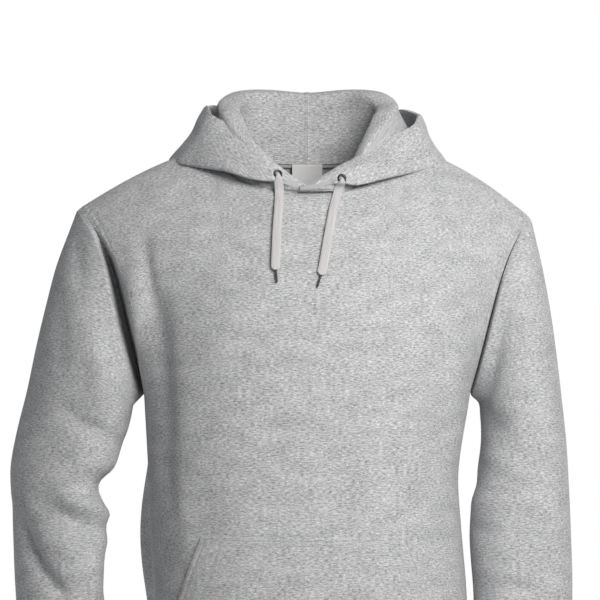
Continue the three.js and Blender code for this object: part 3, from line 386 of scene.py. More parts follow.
# The stage: where the camera stands, and the lights with their places, shares of power, sizes and tints
CAMERA_AT = (-0.009, -3.13, -0.185)
LENS = 160
SENSOR = 36
LIT_AT = (0, 0, -0.25)
LIGHTS = (
    ("Key light", (0.7, -1.5, 0.6), "key_power", 1, 1.0, (1.0, 0.985, 0.97)),
    ("Back light left", (-2.3, 1.5, 0.2), "back_power", 0.5, 1.2, (0.93, 0.96, 1.0)),
    ("Back light right", (1.8, 2.6, 1.3), "back_power", 2, 1.4, (0.95, 0.97, 1.0)),
)
FLOOR = {"radius": 1.25, "below": 0.02, "sides": 96}


def table(names, rows):
    """A table as one array for each named column."""
    columns = np.array(rows, float).T
    return dict(zip(names, columns))


TRUNK = table(TRUNK_NAMES, TRUNK_ROWS)
SLEEVE = {side: table(SLEEVE_NAMES, SLEEVE_ROWS[side]) for side in SIDES}
HOOD = table(HOOD_NAMES, HOOD_ROWS)


def row_at(sheet, key, value):
    """A table's row at any value of its key column, on smooth curves through the rows."""
    keys = sheet[key]
    value = np.asarray(value, float)
    last = len(keys) - 1
    i = np.clip(np.searchsorted(keys, value) - 1, 0, last - 1)
    span = keys[i + 1] - keys[i]
    t = np.clip((value - keys[i]) / span, 0, 1)
    before = np.maximum(np.arange(last + 1) - 1, 0)
    after = np.minimum(np.arange(last + 1) + 1, last)
    row = {}
    for name, column in sheet.items():
        slope = (column[after] - column[before]) / (keys[after] - keys[before])
        start = (2 * t**3 - 3 * t**2 + 1) * column[i] + (t**3 - 2 * t**2 + t) * span * slope[i]
        end = (3 * t**2 - 2 * t**3) * column[i + 1] + (t**3 - t**2) * span * slope[i + 1]
        row[name] = start + end
    return row


def points(x, y, z):
    """Coordinates side by side, as one array of points."""
    return np.stack(np.broadcast_arrays(x, y, z), axis=-1).astype(float)


def bow(value, power):
    """A signed power, which squares off or rounds a section."""
    return np.sign(value) * np.abs(value) ** power


def mix(a, b, t):
    return a + (b - a) * t


def smooth(t):
    t = np.clip(t, 0, 1)
    return t * t * (3 - 2 * t)


def unit(vectors):
    length = np.linalg.norm(vectors, axis=-1, keepdims=True)
    return vectors / np.maximum(length, 1e-9)


def looking(way, normals):
    """Directions across a sheet, all turned over where they look against a way."""
    return -normals if (normals * way).sum() < 0 else normals


def nearest(gap, inset, axis=0):
    """The places of a sheet, one in each column or row, where a length is nearest to a wanted one."""
    at = np.abs(gap - inset).argmin(axis=axis)
    return (at, np.arange(len(at))) if axis == 0 else (np.arange(len(at)), at)


def side_of(across):
    """The armhole's sizes for each place across, left below nought."""
    left, right = ARMHOLE["left"], ARMHOLE["right"]
    return {name: np.where(across < 0, left[name], right[name]) for name in left}


def trunk_section(face, across, z):
    """Places on the trunk's level section at a height, below the armpits."""
    row = row_at(TRUNK, "z", z)
    share = np.abs(across)
    beside = mix(NECK_ANGLE, 90, (share - NECK_SHARE) / (1 - NECK_SHARE))
    degrees = np.where(share < NECK_SHARE, share / NECK_SHARE * NECK_ANGLE, beside)
    angle = np.radians(degrees) * np.sign(across)
    middle = (row["left"] + row["right"]) / 2
    half = (row["right"] - row["left"]) / 2
    depth = row[face] - SIDE_Y
    x = middle + half * bow(np.sin(angle), TRUNK_POWER)
    y = SIDE_Y + depth * np.clip(np.cos(angle), 0, 1) ** TRUNK_POWER
    return points(x, y, z)


def shoulder_line(across):
    """The line of the shoulder seams, and over the neck opening a rounded top between them."""
    share = np.abs(across)
    sign = np.sign(across)
    x = NECK["half_width"] * np.sin(np.radians(np.clip(share / NECK_SHARE, 0, 1) * 90))
    over = points(sign * x, NECK["side_y"], OVER_NECK * (1 - (x / NECK["half_width"]) ** 2))
    hole = side_of(across)
    along = np.clip((share - NECK_SHARE) / (1 - NECK_SHARE), 0, 1)
    seam = points(
        mix(sign * NECK["half_width"], hole["x"], along),
        mix(NECK["side_y"], SHOULDER_Y, along),
        mix(0, hole["z"], along) + hole["crown"] * np.sin(np.pi * along),
    )
    return np.where((share <= NECK_SHARE)[..., None], over, seam)


def neck_height(face, across):
    """How high the neckline lies."""
    reach = np.clip(np.cos(np.radians(np.clip(np.abs(across) / NECK_SHARE, 0, 1) * 90)), 0, 1)
    return -NECK[f"{face}_drop"] * reach ** NECK[f"{face}_curve"]


def armhole(face, side, climb):
    """The armhole loop: climb is 0 at the armpit and 1 at the shoulder point."""
    hole = ARMHOLE[side]
    angle = np.radians(-90 + 180 * climb)
    rise = (1 + np.sin(angle)) / 2
    sign = SIGN[side]
    pit_x = trunk_section(face, np.array(float(sign)), ARMPIT_Z)[0]
    cap = hole["x"] - pit_x - sign * hole["spread"]
    reach = -hole["forward"] if face == "front" else hole["backward"]
    return points(
        pit_x + sign * hole["spread"] * rise + cap * rise**CAP_POWER,
        mix(SIDE_Y, SHOULDER_Y, rise) + reach * np.cos(angle),
        mix(ARMPIT_Z, hole["z"], rise),
    )


def full_turn(face, across):
    """How far a column bends over by its top: a quarter turn at the shoulder, less at the neckline."""
    top = shoulder_line(across)[..., 2]
    share = (neck_height(face, across) - ARMPIT_Z) / (top - ARMPIT_Z)
    return np.where(np.abs(across) >= NECK_SHARE, np.pi / 2, np.arcsin(np.clip(share, -1, 1)))


def yoke(face, across, climb):
    """The rounded chest or upper back, which bends over from the armpits to the shoulders."""
    low = trunk_section(face, across, ARMPIT_Z)
    high = shoulder_line(across)
    turn = climb * full_turn(face, across)
    out = smooth((np.abs(across) - NECK_SHARE) / (1 - NECK_SHARE))
    fall = mix(FALL[face]["neck"], FALL[face]["shoulder"], out)
    return points(
        mix(low[..., 0], high[..., 0], (2 * turn / np.pi) ** 1.2),
        mix(high[..., 1], low[..., 1], np.clip(np.cos(turn), 0, 1) ** fall),
        mix(low[..., 2], high[..., 2], np.sin(turn)),
    )


def body_points(face, across, row):
    """The front or back panel: across from -1 to 1, row from 0 at the hem to the shoulder."""
    below_neck = smooth((ROWS - 0.5 - np.asarray(row, float)) / NECK_BLEND["rows"])
    spread = NECK_BLEND["spread"] * below_neck
    steps = np.linspace(-1, 1, NECK_BLEND["samples"])
    weights = 1 - steps**2 * NECK_BLEND["fade"]
    total = sum(w * body_places(face, soft_across(across, spread * s), row) for s, w in zip(steps, weights))
    return total / weights.sum()


def soft_across(across, shift):
    """A place across moved by shift, but only near the line below the neck's corner."""
    across = np.asarray(across, float)
    near = np.exp(-(((np.abs(across) - NECK_SHARE) / NECK_BLEND["near"]) ** 2))
    return across + shift * near


def body_places(face, across, row):
    """The same panel before the line below the corner of the neck is evened out."""
    across, row = np.broadcast_arrays(np.asarray(across, float), np.asarray(row, float))
    share = np.clip((row - 1) / (ROWS_BELOW - 1), 0, 1)
    z = np.where(row < 1, mix(HEM_Z, TURN_IN_Z, row), mix(TURN_IN_Z, ARMPIT_Z, share))
    below = trunk_section(face, across, z)
    climb = np.clip((row - ROWS_BELOW) / ROWS_ABOVE, 0, 1)
    above = yoke(face, across, climb)
    turned = climb * full_turn(face, across) / (np.pi / 2)
    for side in SIDES:
        sign = SIGN[side]
        pull = mix(ARMHOLE_PULL["low"], ARMHOLE_PULL["high"], smooth(turned * 2))
        near = np.maximum(across * sign, 0) ** pull
        shift = armhole(face, side, turned) - yoke(face, np.full(across.shape, float(sign)), turned)
        above = above + shift * near[..., None]
    return np.where((row <= ROWS_BELOW)[..., None], below, above)


def fold_height(folds, x, z):
    """How far the cloth stands out at each place, from all the folds near it."""
    height = np.zeros_like(x)
    for row in folds:
        fold = dict(zip(FOLD_NAMES, row))
        dx = fold["x2"] - fold["x1"]
        dz = fold["z2"] - fold["z1"]
        length = math.hypot(dx, dz)
        along = ((x - fold["x1"]) * dx + (z - fold["z1"]) * dz) / length**2
        aside = ((x - fold["x1"]) * dz - (z - fold["z1"]) * dx) / length
        fade = np.sin(np.pi * np.clip(along, 0, 1))
        height += fold["height"] * fade * np.exp(-((aside / fold["spread"]) ** 2))
    return height


def sleeve_fold_height(folds, turn, z):
    """The same round a sleeve, where a fold climbs as it goes round."""
    height = np.zeros_like(z)
    for row in folds:
        fold = dict(zip(SLEEVE_FOLD_NAMES, row))
        away = (turn - fold["turn"] + 1.5) % 1 - 0.5
        fade = np.cos(np.pi / 2 * np.clip(away / fold["reach"], -1, 1)) ** 2
        aside = z - fold["z"] - fold["slant"] * away
        height += fold["height"] * fade * np.exp(-((aside / fold["spread"]) ** 2))
    return height


def arm_fold(side, seam_z, away):
    """How far back the cloth falls at a distance from the front of the armhole seam."""
    fold = ARM_FOLD[side]
    share = np.clip((fold["top"] - seam_z) / (fold["top"] - fold["low"]), 0, 1)
    reach = mix(fold["narrow"], fold["wide"], share)
    depth = fold["depth"] * smooth(share * 3) * smooth((seam_z - ARMPIT_Z) / ARM_FOLD_END)
    return depth * np.exp(-((away / reach) ** 4))


def seam_heights(grid, side):
    """The heights of the armhole seam on one side of a panel."""
    return grid[:, :1, 2] if side == "left" else grid[:, -1:, 2]


def sewn_relief(away, run):
    """The cloth beside a seam: it dips under each row of stitches and puckers between them."""
    relief = np.zeros_like(away)
    for row in STITCH_ROWS:
        relief -= STITCH_DIP * np.exp(-(((away - row) / DIP_REACH) ** 2))
    middle = sum(STITCH_ROWS) / 2
    wave = np.sin(2 * np.pi * run / PUCKER["pitch"] + 2 * np.sin(run / 31))
    return relief + PUCKER["height"] * wave * np.exp(-(((away - middle) / PUCKER["reach"]) ** 2))


def sleeve_section(side, at, turn):
    """A sleeve's own section, round from its inner side by the front."""
    row = row_at(SLEEVE[side], "at", at)
    angle = turn * 2 * np.pi
    across = (1 - bow(np.cos(angle), SLEEVE_POWER)) / 2
    x = mix(row["in_x"], row["out_x"], across)
    z = mix(row["in_z"], row["out_z"], across)
    y = row["mid_y"] - row["half"] * bow(np.sin(angle), SLEEVE_POWER)
    twist = SLEEVE_TWIST[side] * smooth(at / 0.2) * smooth((1 - at) / 0.25)
    return points(x, y + twist * (across - 0.5), z)


def sleeve_points(side, turn, along):
    """A sleeve: turn goes round from the armpit by the front, along runs from armhole to cuff."""
    edge = float(SIGN[side])
    steps = 2 * ROWS_ABOVE
    front = body_points("front", edge, ROWS_BELOW + np.clip(turn * steps, 0, ROWS_ABOVE))
    back = body_points("back", edge, ROWS_BELOW + np.clip((1 - turn) * steps, 0, ROWS_ABOVE))
    loop = np.where((turn < 0.5)[..., None], front, back)
    first = sleeve_section(side, np.full(turn.shape, SLEEVE[side]["at"][0]), turn)
    hold = (1 - smooth(along / SLEEVE_START)) ** 1.5
    return sleeve_section(side, along, turn) + (loop - first) * hold[..., None]


def hood_section(side, degrees, seam_at):
    """The thirteen points of a hood section, out from and up from the neck seam."""
    row = {name: float(value) for name, value in row_at(HOOD, "angle", degrees).items()}
    heights = np.array(FLAP_HEM[side], float).T
    hem = np.interp((seam_at + hood_direction(side, degrees) * row["bag_out"])[0], *heights)
    row["bag_up"] = mix(row["bag_up"], hem - seam_at[2], smooth((degrees - 76) / 14))
    right = 1 if side == "right" else 0
    half = row["fold_half"]
    fold = np.array([row["fold_out"], row["fold_up"]])
    bag = np.array([row["bag_out"], row["bag_up"]])
    turn = np.array([row["right_out"], row["right_up"]]) * right
    middle = np.array([row["mid_out"], row["mid_up"]]) + turn * 0.5
    edge = np.array([row["edge_out"], row["edge_up"]]) + turn
    seam = np.zeros(2)
    start = fold + [-half, -half * 1.1]
    over = fold + [half * 0.75, -half * 0.35]
    down = fold + [half, -half * 1.3]
    sink = bag + [-row["bag_half"], row["bag_half"] * 0.6]
    rise = bag + [row["bag_half"], row["bag_half"] * 0.5]
    hollow = -4 * np.clip((down[1] - sink[1]) / 30, 0, 1)
    folded = [
        seam,
        mix(seam, start, 0.5) + [-1, 0],
        start,
        mix(start, fold, 0.6) + [-half * 0.25, 0],
        over,
        down,
        mix(down, sink, 0.5) + [hollow, 0],
        sink,
        bag,
        rise,
        middle,
        mix(middle, edge, 0.55) + [1, 0],
        edge,
    ]
    bulge = HOOD_BULGE * min(1, edge[1] / 32)
    section = []
    for k, place in enumerate(folded):
        t = k / (len(folded) - 1)
        straight = np.array([edge[0] * t + bulge * math.sin(math.pi * t**0.8), edge[1] * t])
        section.append(mix(place, straight, row["plain"]))
    return section


def hood_direction(side, degrees):
    """The way out from the neck, by the angle from the middle of the back."""
    angle = math.radians(degrees)
    return np.array([SIGN[side] * math.sin(angle), math.cos(angle), 0])


def lap_share(side, degrees):
    """How far the right side of the hood has come over the left one."""
    return smooth((degrees - LAP["from"]) / (LAP["to"] - LAP["from"])) * (side == "right")


def hood_grid(side):
    """The hood's own points, one row for each angle round the neck."""
    grid = []
    for degrees in np.linspace(0, HOOD_END[side], HOOD_STEPS + 1):
        face = "back" if degrees <= 90 else "front"
        turn = degrees if degrees <= 90 else 180 - degrees
        seam = body_points(face, SIGN[side] * turn * NECK_SHARE / 90, ROWS)
        lap = lap_share(side, degrees)
        direction = hood_direction(side, degrees)
        column = []
        for out, up in hood_section(side, degrees, seam):
            place = seam + direction * (out + LAP["out"] * lap)
            column.append(place + np.array([0, 0, up + LAP["up"] * lap]))
        grid.append(column)
    return np.array(grid)


def grid_normals(grid):
    """Directions across a sheet of points, weighted by the angle of each cell's corner."""
    normals = np.zeros_like(grid)
    corners = ((0, 0), (1, 0), (1, 1), (0, 1))
    tall, wide = grid.shape[0] - 1, grid.shape[1] - 1
    for k, (a, b) in enumerate(corners):
        ahead_a, ahead_b = corners[(k + 1) % 4]
        back_a, back_b = corners[(k + 3) % 4]
        here = grid[a:a + tall, b:b + wide]
        ahead = grid[ahead_a:ahead_a + tall, ahead_b:ahead_b + wide] - here
        behind = grid[back_a:back_a + tall, back_b:back_b + wide] - here
        angle = np.arccos(np.clip((unit(ahead) * unit(behind)).sum(-1), -1, 1))
        normals[a:a + tall, b:b + wide] += unit(np.cross(ahead, behind)) * angle[..., None]
    return unit(normals)


def even_normals(normals, passes):
    """Evens out the directions of a folded sheet, so that its inner layers don't cross."""
    for _ in range(passes):
        beside = np.concatenate([normals[:1], normals[:-1]]) + np.concatenate([normals[1:], normals[-1:]])
        above = np.concatenate([normals[:, :1], normals[:, :-1]], axis=1)
        below = np.concatenate([normals[:, 1:], normals[:, -1:]], axis=1)
        normals = unit(2 * normals + beside + 0.5 * (above + below))
    return normals


def refined(grid, rows, columns):
    """A grid on smooth curves through its own points, at rows and columns counted in its steps."""
    for axis, wanted in ((0, rows), (1, columns)):
        last = grid.shape[axis] - 1
        i = np.clip(np.floor(wanted).astype(int), 0, last - 1)
        t = (wanted - i).reshape((-1, 1, 1) if axis == 0 else (1, -1, 1))
        p0 = np.take(grid, np.maximum(i - 1, 0), axis)
        p1 = np.take(grid, i, axis)
        p2 = np.take(grid, i + 1, axis)
        p3 = np.take(grid, np.minimum(i + 2, last), axis)
        cubic = (-p0 + 3 * p1 - 3 * p2 + p3) * t**3 + (2 * p0 - 5 * p1 + 4 * p2 - p3) * t**2
        grid = 0.5 * (cubic + (p2 - p0) * t + 2 * p1)
    return grid


def crowded(count, amount):
    """Steps from 0 to 1 that crowd together at both ends."""
    t = np.linspace(0, 1, count + 1)
    return t - amount * np.sin(2 * np.pi * t) / (2 * np.pi)


def lengths(grid, axis):
    """Lengths along a sheet's rows or columns, from their starts."""
    steps = np.linalg.norm(np.diff(grid, axis=axis), axis=-1)
    start = np.zeros_like(np.take(steps, [0], axis))
    return np.concatenate([start, np.cumsum(steps, axis=axis)], axis=axis)


def facing_out(grid, wrap=False):
    """Directions of a fine sheet; wrap says that its last column meets its first."""
    if wrap:
        wide = np.concatenate([grid[:, -2:-1], grid, grid[:, 1:2]], axis=1)
        around = wide[:, 2:] - wide[:, :-2]
    else:
        around = np.gradient(grid, axis=1)
    along = np.gradient(grid, axis=0)
    return unit(np.cross(around, along))


def sunk_edges(grid, normals, depths, reach):
    """Rolls the named edges of a sheet in towards their seams."""
    across, along = lengths(grid, 1), lengths(grid, 0)
    gaps = {
        "start": across,
        "end": across[:, -1:] - across,
        "bottom": along,
        "top": along[-1:] - along,
    }
    sink = np.zeros(grid.shape[:2])
    for edge, depth in depths.items():
        sink = np.maximum(sink, depth * np.exp(-((gaps[edge] / reach) ** 2)))
    return grid - normals * sink[..., None]


def plain_cut(grid, wrap):
    """The cloth's own map, in which its courses run across the piece, level with its end on a tube."""
    across, along = lengths(grid, 1), lengths(grid, 0)
    anchor = grid.shape[1] // (4 if wrap else 2)
    if wrap:
        along = along - along[-1:]
    return across - across[:, anchor:anchor + 1], along


def lay_cloth(name, grid, normals, thickness, wrap=False, soften=0.8, cut=None):
    """A cloth piece over a fine grid of points, with its cut's own map in metres and a real wall."""
    rows, columns = grid.shape[0] - 1, grid.shape[1] - 1
    cut = np.stack(cut or plain_cut(grid, wrap), axis=-1).reshape(-1, 2) * MM
    bm = bmesh.new()
    layer = bm.loops.layers.uv.new("cut")
    bmesh.ops.create_grid(bm, x_segments=columns, y_segments=rows, size=1.0)
    bm.verts.ensure_lookup_table()
    for vert, place in zip(bm.verts, grid.reshape(-1, 3) * MM):
        vert.co = place
    for face in bm.faces:
        face.smooth = True
        for loop in face.loops:
            loop[layer].uv = cut[loop.vert.index]
    if wrap:
        edge = [v for v in bm.verts if v.index % (columns + 1) in (0, columns)]
        bmesh.ops.remove_doubles(bm, verts=edge, dist=0.02 * MM)
    bm.faces.ensure_lookup_table()
    bm.normal_update()
    middle = bm.faces[(rows // 2) * columns + columns // 2]
    if middle.normal.dot(Vector(normals[rows // 2, columns // 2])) < 0:
        bmesh.ops.reverse_faces(bm, faces=bm.faces[:])
    piece = as_piece(bm, name)
    if thickness:
        add_wall(piece, thickness)
        edges = piece.modifiers.new("Soft edges", "BEVEL")
        edges.width = soften * MM
        edges.segments = 2
        edges.limit_method = "ANGLE"
        edges.angle_limit = math.radians(55)
    return piece


def as_piece(bm, name):
    """A new object in the scene from the mesh that was built."""
    mesh = bpy.data.meshes.new(name)
    bm.to_mesh(mesh)
    bm.free()
    piece = bpy.data.objects.new(name, mesh)
    bpy.context.scene.collection.objects.link(piece)
    return piece


def add_wall(piece, thickness):
    """Gives a skin its thickness, inwards."""
    wall = piece.modifiers.new("Wall", "SOLIDIFY")
    wall.thickness = thickness
    wall.offset = -1


def dress(piece, material, slot, *nodes):
    """Gives a piece its material and place in the object, and hides what it stands for. The slot is not
    used.
    """
    if material:
        piece.data.materials.append(material)
    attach(piece, "root")
    if nodes:
        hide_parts(*nodes)


# Materials


class Nodes:
    """A material's nodes, added and joined by short calls."""

    def __init__(self, name):
        self.material = bpy.data.materials.new(name)
        self.material.use_nodes = True
        self.tree = self.material.node_tree
        self.shader = self.tree.nodes["Principled BSDF"]

    def add(self, kind, **values):
        node = self.tree.nodes.new(kind)
        for name, value in values.items():
            setattr(node, name, value)
        return node

    def join(self, out, into):
        self.tree.links.new(out, into)

    def placed(self, across, along):
        """A place on the cloth's own map, stretched across and along it."""
        source = self.add("ShaderNodeUVMap", uv_map="cut")
        place = self.add("ShaderNodeMapping")
        place.inputs["Scale"].default_value = (across, along, 1)
        self.join(source.outputs["UV"], place.inputs["Vector"])
        return place.outputs["Vector"]

    def fibres(self, across, along, detail, roughness):
        """Streaks on the cloth's own map, with so many to the metre across and along it."""
        return self.noise(self.placed(across, along), 1.0, detail, roughness)

    def noise(self, place, scale, detail=2.0, roughness=0.5):
        node = self.add("ShaderNodeTexNoise")
        node.inputs["Scale"].default_value = scale
        node.inputs["Detail"].default_value = detail
        node.inputs["Roughness"].default_value = roughness
        self.join(place, node.inputs["Vector"])
        return node.outputs["Fac"]

    def ramp(self, value, stops):
        node = self.add("ShaderNodeValToRGB")
        while len(node.color_ramp.elements) < len(stops):
            node.color_ramp.elements.new(0.5)
        for element, (at, color) in zip(node.color_ramp.elements, stops):
            element.position = at
            element.color = (*color, 1) if hasattr(color, "__len__") else (color, color, color, 1)
        self.join(value, node.inputs["Fac"])
        return node.outputs["Color"]

    def math(self, operation, a, b):
        node = self.add("ShaderNodeMath", operation=operation)
        for socket, value in zip(node.inputs, (a, b)):
            if isinstance(value, (int, float)):
                socket.default_value = value
            else:
                self.join(value, socket)
        return node.outputs["Value"]

    def weighed(self, a, share_a, b, share_b):
        """Two values added, each by its share."""
        return self.math("ADD", self.math("MULTIPLY", a, share_a), self.math("MULTIPLY", b, share_b))

    def blend(self, mode, share, a, b):
        node = self.add("ShaderNodeMix", data_type="RGBA", blend_type=mode)
        for socket, value in ((node.inputs["Factor"], share), (node.inputs["A"], a), (node.inputs["B"], b)):
            if isinstance(value, (int, float)):
                socket.default_value = value
            elif isinstance(value, tuple):
                socket.default_value = (*value, 1)
            else:
                self.join(value, socket)
        return node.outputs["Result"]

    def bump(self, height, strength, distance):
        node = self.add("ShaderNodeBump")
        node.inputs["Strength"].default_value = strength
        node.inputs["Distance"].default_value = distance
        self.join(height, node.inputs["Height"])
        self.join(node.outputs["Normal"], self.shader.inputs["Normal"])

    def finish(self, color, roughness, sheen=0.0, specular=0.3, metallic=0.0):
        if isinstance(color, tuple):
            self.shader.inputs["Base Color"].default_value = (*color, 1)
        else:
            self.join(color, self.shader.inputs["Base Color"])
        self.shader.inputs["Roughness"].default_value = roughness
        self.shader.inputs["Sheen Weight"].default_value = sheen
        self.shader.inputs["Sheen Roughness"].default_value = 0.5
        self.shader.inputs["Specular IOR Level"].default_value = specular
        self.shader.inputs["Metallic"].default_value = metallic
        return self.material


def heather(name, tone, contrast=1.0):
    """Marl knit: short light and dark fibres that run along the courses of the cloth."""
    nodes = Nodes(name)
    dashes = nodes.fibres(190, 720, 2.5, 0.6)
    specks = nodes.fibres(420, 1250, 1.5, 0.55)
    cloud = nodes.fibres(26, 60, 3.0, 0.55)
    fibre = nodes.weighed(dashes, 0.62, specks, 0.38)
    mixed = nodes.weighed(fibre, 0.86, cloud, 0.14)
    low = tuple(c * (1 - 0.60 * contrast) for c in tone)
    high = tuple(min(1, c * (1 + 0.62 * contrast)) for c in tone)
    color = nodes.ramp(mixed, ((0.36, low), (0.5, tone), (0.64, high)))
    loops = nodes.fibres(900, 700, 1.0, 0.5)
    nap = nodes.fibres(160, 240, 4.0, 0.6)
    nodes.bump(nodes.weighed(loops, 0.4, nap, 0.6), 0.55, 0.0009)
    return nodes.finish(color, 0.95, sheen=0.12, specular=0.15)


def braid(name, tone):
    """A flat braid: slanting strands that meet along the middle of the cord."""
    nodes = Nodes(name)
    strands = nodes.add("ShaderNodeTexWave", wave_type="BANDS", bands_direction="DIAGONAL")
    strands.inputs["Scale"].default_value = 1.0
    strands.inputs["Distortion"].default_value = 0.6
    nodes.join(nodes.placed(260, 130), strands.inputs["Vector"])
    lines = nodes.fibres(900, 30, 2.0, 0.5)
    low = tuple(c * 0.82 for c in tone)
    shade = nodes.ramp(lines, ((0.35, low), (0.6, tone)))
    between = nodes.ramp(strands.outputs["Fac"], ((0.1, 0.6), (0.6, 1.0)))
    color = nodes.blend("MULTIPLY", 0.18, shade, between)
    nodes.bump(strands.outputs["Fac"], 0.4, 0.0004)
    return nodes.finish(color, 0.85, sheen=0.1, specular=0.2)


def woven(name, tone, threads):
    """A plain weave, with so many threads to the metre."""
    nodes = Nodes(name)
    warp = nodes.fibres(threads, threads * 0.3, 1.0, 0.5)
    color = nodes.ramp(warp, ((0.3, tuple(c * 0.88 for c in tone)), (0.7, tone)))
    nodes.bump(warp, 0.3, 0.0003)
    return nodes.finish(color, 0.8, sheen=0.05, specular=0.25)


def dark_metal(name, tone):
    """Plated metal, a little worn."""
    nodes = Nodes(name)
    place = nodes.add("ShaderNodeTexCoord").outputs["Object"]
    wear = nodes.noise(place, 900, 2.0, 0.5)
    color = nodes.ramp(wear, ((0.35, tone), (0.75, tuple(min(1, c * 1.7) for c in tone))))
    nodes.bump(wear, 0.08, 0.0002)
    return nodes.finish(color, 0.32, specular=0.5, metallic=1.0)


def material(name):
    """The named finish, made the first time that a piece asks for it."""
    found = bpy.data.materials.get(name)
    if found:
        return found
    colours = bpy.context.scene.hoodie
    makers = {
        "Heather fleece": lambda: heather(name, tuple(colours.fleece)),
        "Heather rib": lambda: heather(name, tuple(colours.rib), 0.8),
        "Braided cord": lambda: braid(name, tuple(colours.cord)),
        # The tip's darker tone is partly a darker tip and partly painted shade.
        "Cord tip": lambda: braid(name, tuple(c * CORD_TIP["shade"] for c in colours.cord)),
        "Neck tape": lambda: woven(name, tuple(colours.tape), 900),
        "Woven label": lambda: woven(name, tuple(colours.label), 1400),
        "Sewing thread": lambda: woven(name, tuple(colours.thread), 1600),
        "Dark nickel": lambda: dark_metal(name, tuple(colours.metal)),
    }
    return makers[name]()


# Surfaces that several pieces lie on


def body_sheet(face, across, row):
    """Fine points and directions of a body panel with all its folds."""
    grid = body_points(face, across[None, :], row[:, None])
    normals = looking(grid - np.array([0, SIDE_Y, MID_Z]), facing_out(grid))
    u = (across[None, :] + 1) / 2
    v = row[:, None] / ROWS
    hold = smooth(np.minimum(u, 1 - u) * 24) * smooth(np.minimum(v, 1 - v) * 21)
    folds = BODY_FOLDS[face] + BODY_CREASES[face]
    height = hold * fold_height(folds, grid[..., 0], grid[..., 2])
    return grid + normals * height[..., None], normals


def front_at(x, z):
    """Points on the front panel's face below the armpits, straight behind places in the front view."""
    row = row_at(TRUNK, "z", z)
    middle = (row["left"] + row["right"]) / 2
    half = (row["right"] - row["left"]) / 2
    sine = np.clip(np.abs(x - middle) / half, 0, 1) ** (1 / TRUNK_POWER)
    y = SIDE_Y + (row["front"] - SIDE_Y) * np.sqrt(1 - sine**2) ** TRUNK_POWER
    height = fold_height(BODY_FOLDS["front"] + BODY_CREASES["front"], x, z)
    return points(x, y, z), height


def even_turns(point_at, count):
    """Turns that are equal steps apart along a closed line, and the line's length."""
    fine = np.linspace(0, 1, 2881)
    run = lengths(point_at(fine), 0)
    return np.interp(np.linspace(0, run[-1], count + 1), run, fine), run[-1]


def band_points(turn, height, out):
    """The waistband: turn goes round it, height runs from its seam to its lower edge."""
    angle = turn * 2 * np.pi
    inset = BAND["draw_in"] * height
    c = np.cos(angle)
    depth = np.where(c < 0, SIDE_Y - BAND["front"], BAND["back"] - SIDE_Y)
    x = BAND["mid_x"] + (BAND["half_x"] - inset + out) * bow(np.sin(angle), TRUNK_POWER)
    y = SIDE_Y + (depth - inset + out) * bow(c, TRUNK_POWER)
    return points(x, y, HEM_Z - SEAM_GAP - BAND_HEIGHT * height)


def cuff_frame(side):
    """A cuff's centre, its directions across and down, and the way the sleeve leans."""
    ends = [row_at(SLEEVE[side], "at", at) for at in (0.9, 1.0)]
    middles = [points((e["out_x"] + e["in_x"]) / 2, e["mid_y"], (e["out_z"] + e["in_z"]) / 2) for e in ends]
    across = unit(points(ends[1]["out_x"] - ends[1]["in_x"], 0, ends[1]["out_z"] - ends[1]["in_z"]))
    down = np.cross(across, np.array([0, 1.0, 0]))
    if down[2] > 0:
        down = -down
    return middles[1], across, down, unit(middles[1] - middles[0])


def cuff_points(side, turn, height, out):
    """A cuff, in the same way, at the end of its sleeve."""
    centre, across, down, lean = cuff_frame(side)
    angle = turn * 2 * np.pi
    shrink = CUFF["taper"] * height
    a = ((CUFF["half_x"] - shrink + out) * np.cos(angle))[..., None]
    b = ((CUFF["half_y"] - shrink + out) * np.sin(angle))[..., None]
    reach = lean * (CUFF_LENGTH * height)[..., None]
    return centre + across * a + np.array([0, 1.0, 0]) * b + reach + down * SEAM_GAP


def ribbed(name, point_at, thickness):
    """A ribbed tube: rounded ridges and grooves run from its top to its folded bottom edge."""

    def halfway(turn):
        return point_at(turn, np.full(turn.shape, 0.5), 0.0)

    _, total = even_turns(halfway, 8)
    turns, _ = even_turns(halfway, round(total / RIB_PITCH) * RIB_FINE["per_rib"])
    phase = np.arange(len(turns)) / RIB_FINE["per_rib"]
    ridge = -RIB_RELIEF * (0.5 + 0.5 * np.cos(2 * np.pi * phase)) ** 1.4
    turn, height = np.meshgrid(turns, crowded(RIB_FINE["rows"], RIB_FINE["crowd"]))
    from_ends = [share * RIB_ROLL["height"] / RIB_ROLL["reach"] for share in (height, 1 - height)]
    roll = RIB_ROLL["depth"] * sum(np.exp(-(away**2)) for away in from_ends)
    grid = point_at(turn, height, ridge[None, :] - roll)
    normals = looking(grid - grid.mean(axis=(0, 1)), facing_out(grid, wrap=True))
    return lay_cloth(name, grid, normals, thickness, wrap=True, soften=0.6), total


def sewn_line(name, line, outward, lift):
    """A row of stitches: small pills of thread along a line, each lying on the cloth."""
    sizes = bpy.context.scene.hoodie
    run = lengths(line, 0)
    count = max(int(run[-1] / (sizes.stitch_pitch / MM)), 1)
    bm = bmesh.new()
    bm.loops.layers.uv.new("cut")
    for k in range(count):
        ends = [(k + share) * run[-1] / count for share in (0.14, 0.86)]
        a, b = [np.array([np.interp(e, run, line[:, n]) for n in range(3)]) for e in ends]
        up = unit(np.array([np.interp(np.mean(ends), run, outward[:, n]) for n in range(3)]))
        along = Vector(unit(b - a))
        side = Vector(up).cross(along).normalized()
        top = along.cross(side)
        half = np.linalg.norm(b - a) / 2 * MM
        place = Vector(((a + b) / 2 + up * lift) * MM)
        ways = (along * half, side * sizes.thread_width / 2, top * sizes.thread_width / 3)
        pill = Matrix.Translation(place) @ Matrix(ways).transposed().to_4x4()
        bmesh.ops.create_icosphere(bm, subdivisions=1, radius=1.0, matrix=pill)
    for face in bm.faces:
        face.smooth = True
    dress(as_piece(bm, name), material("Sewing thread"), "fleece")


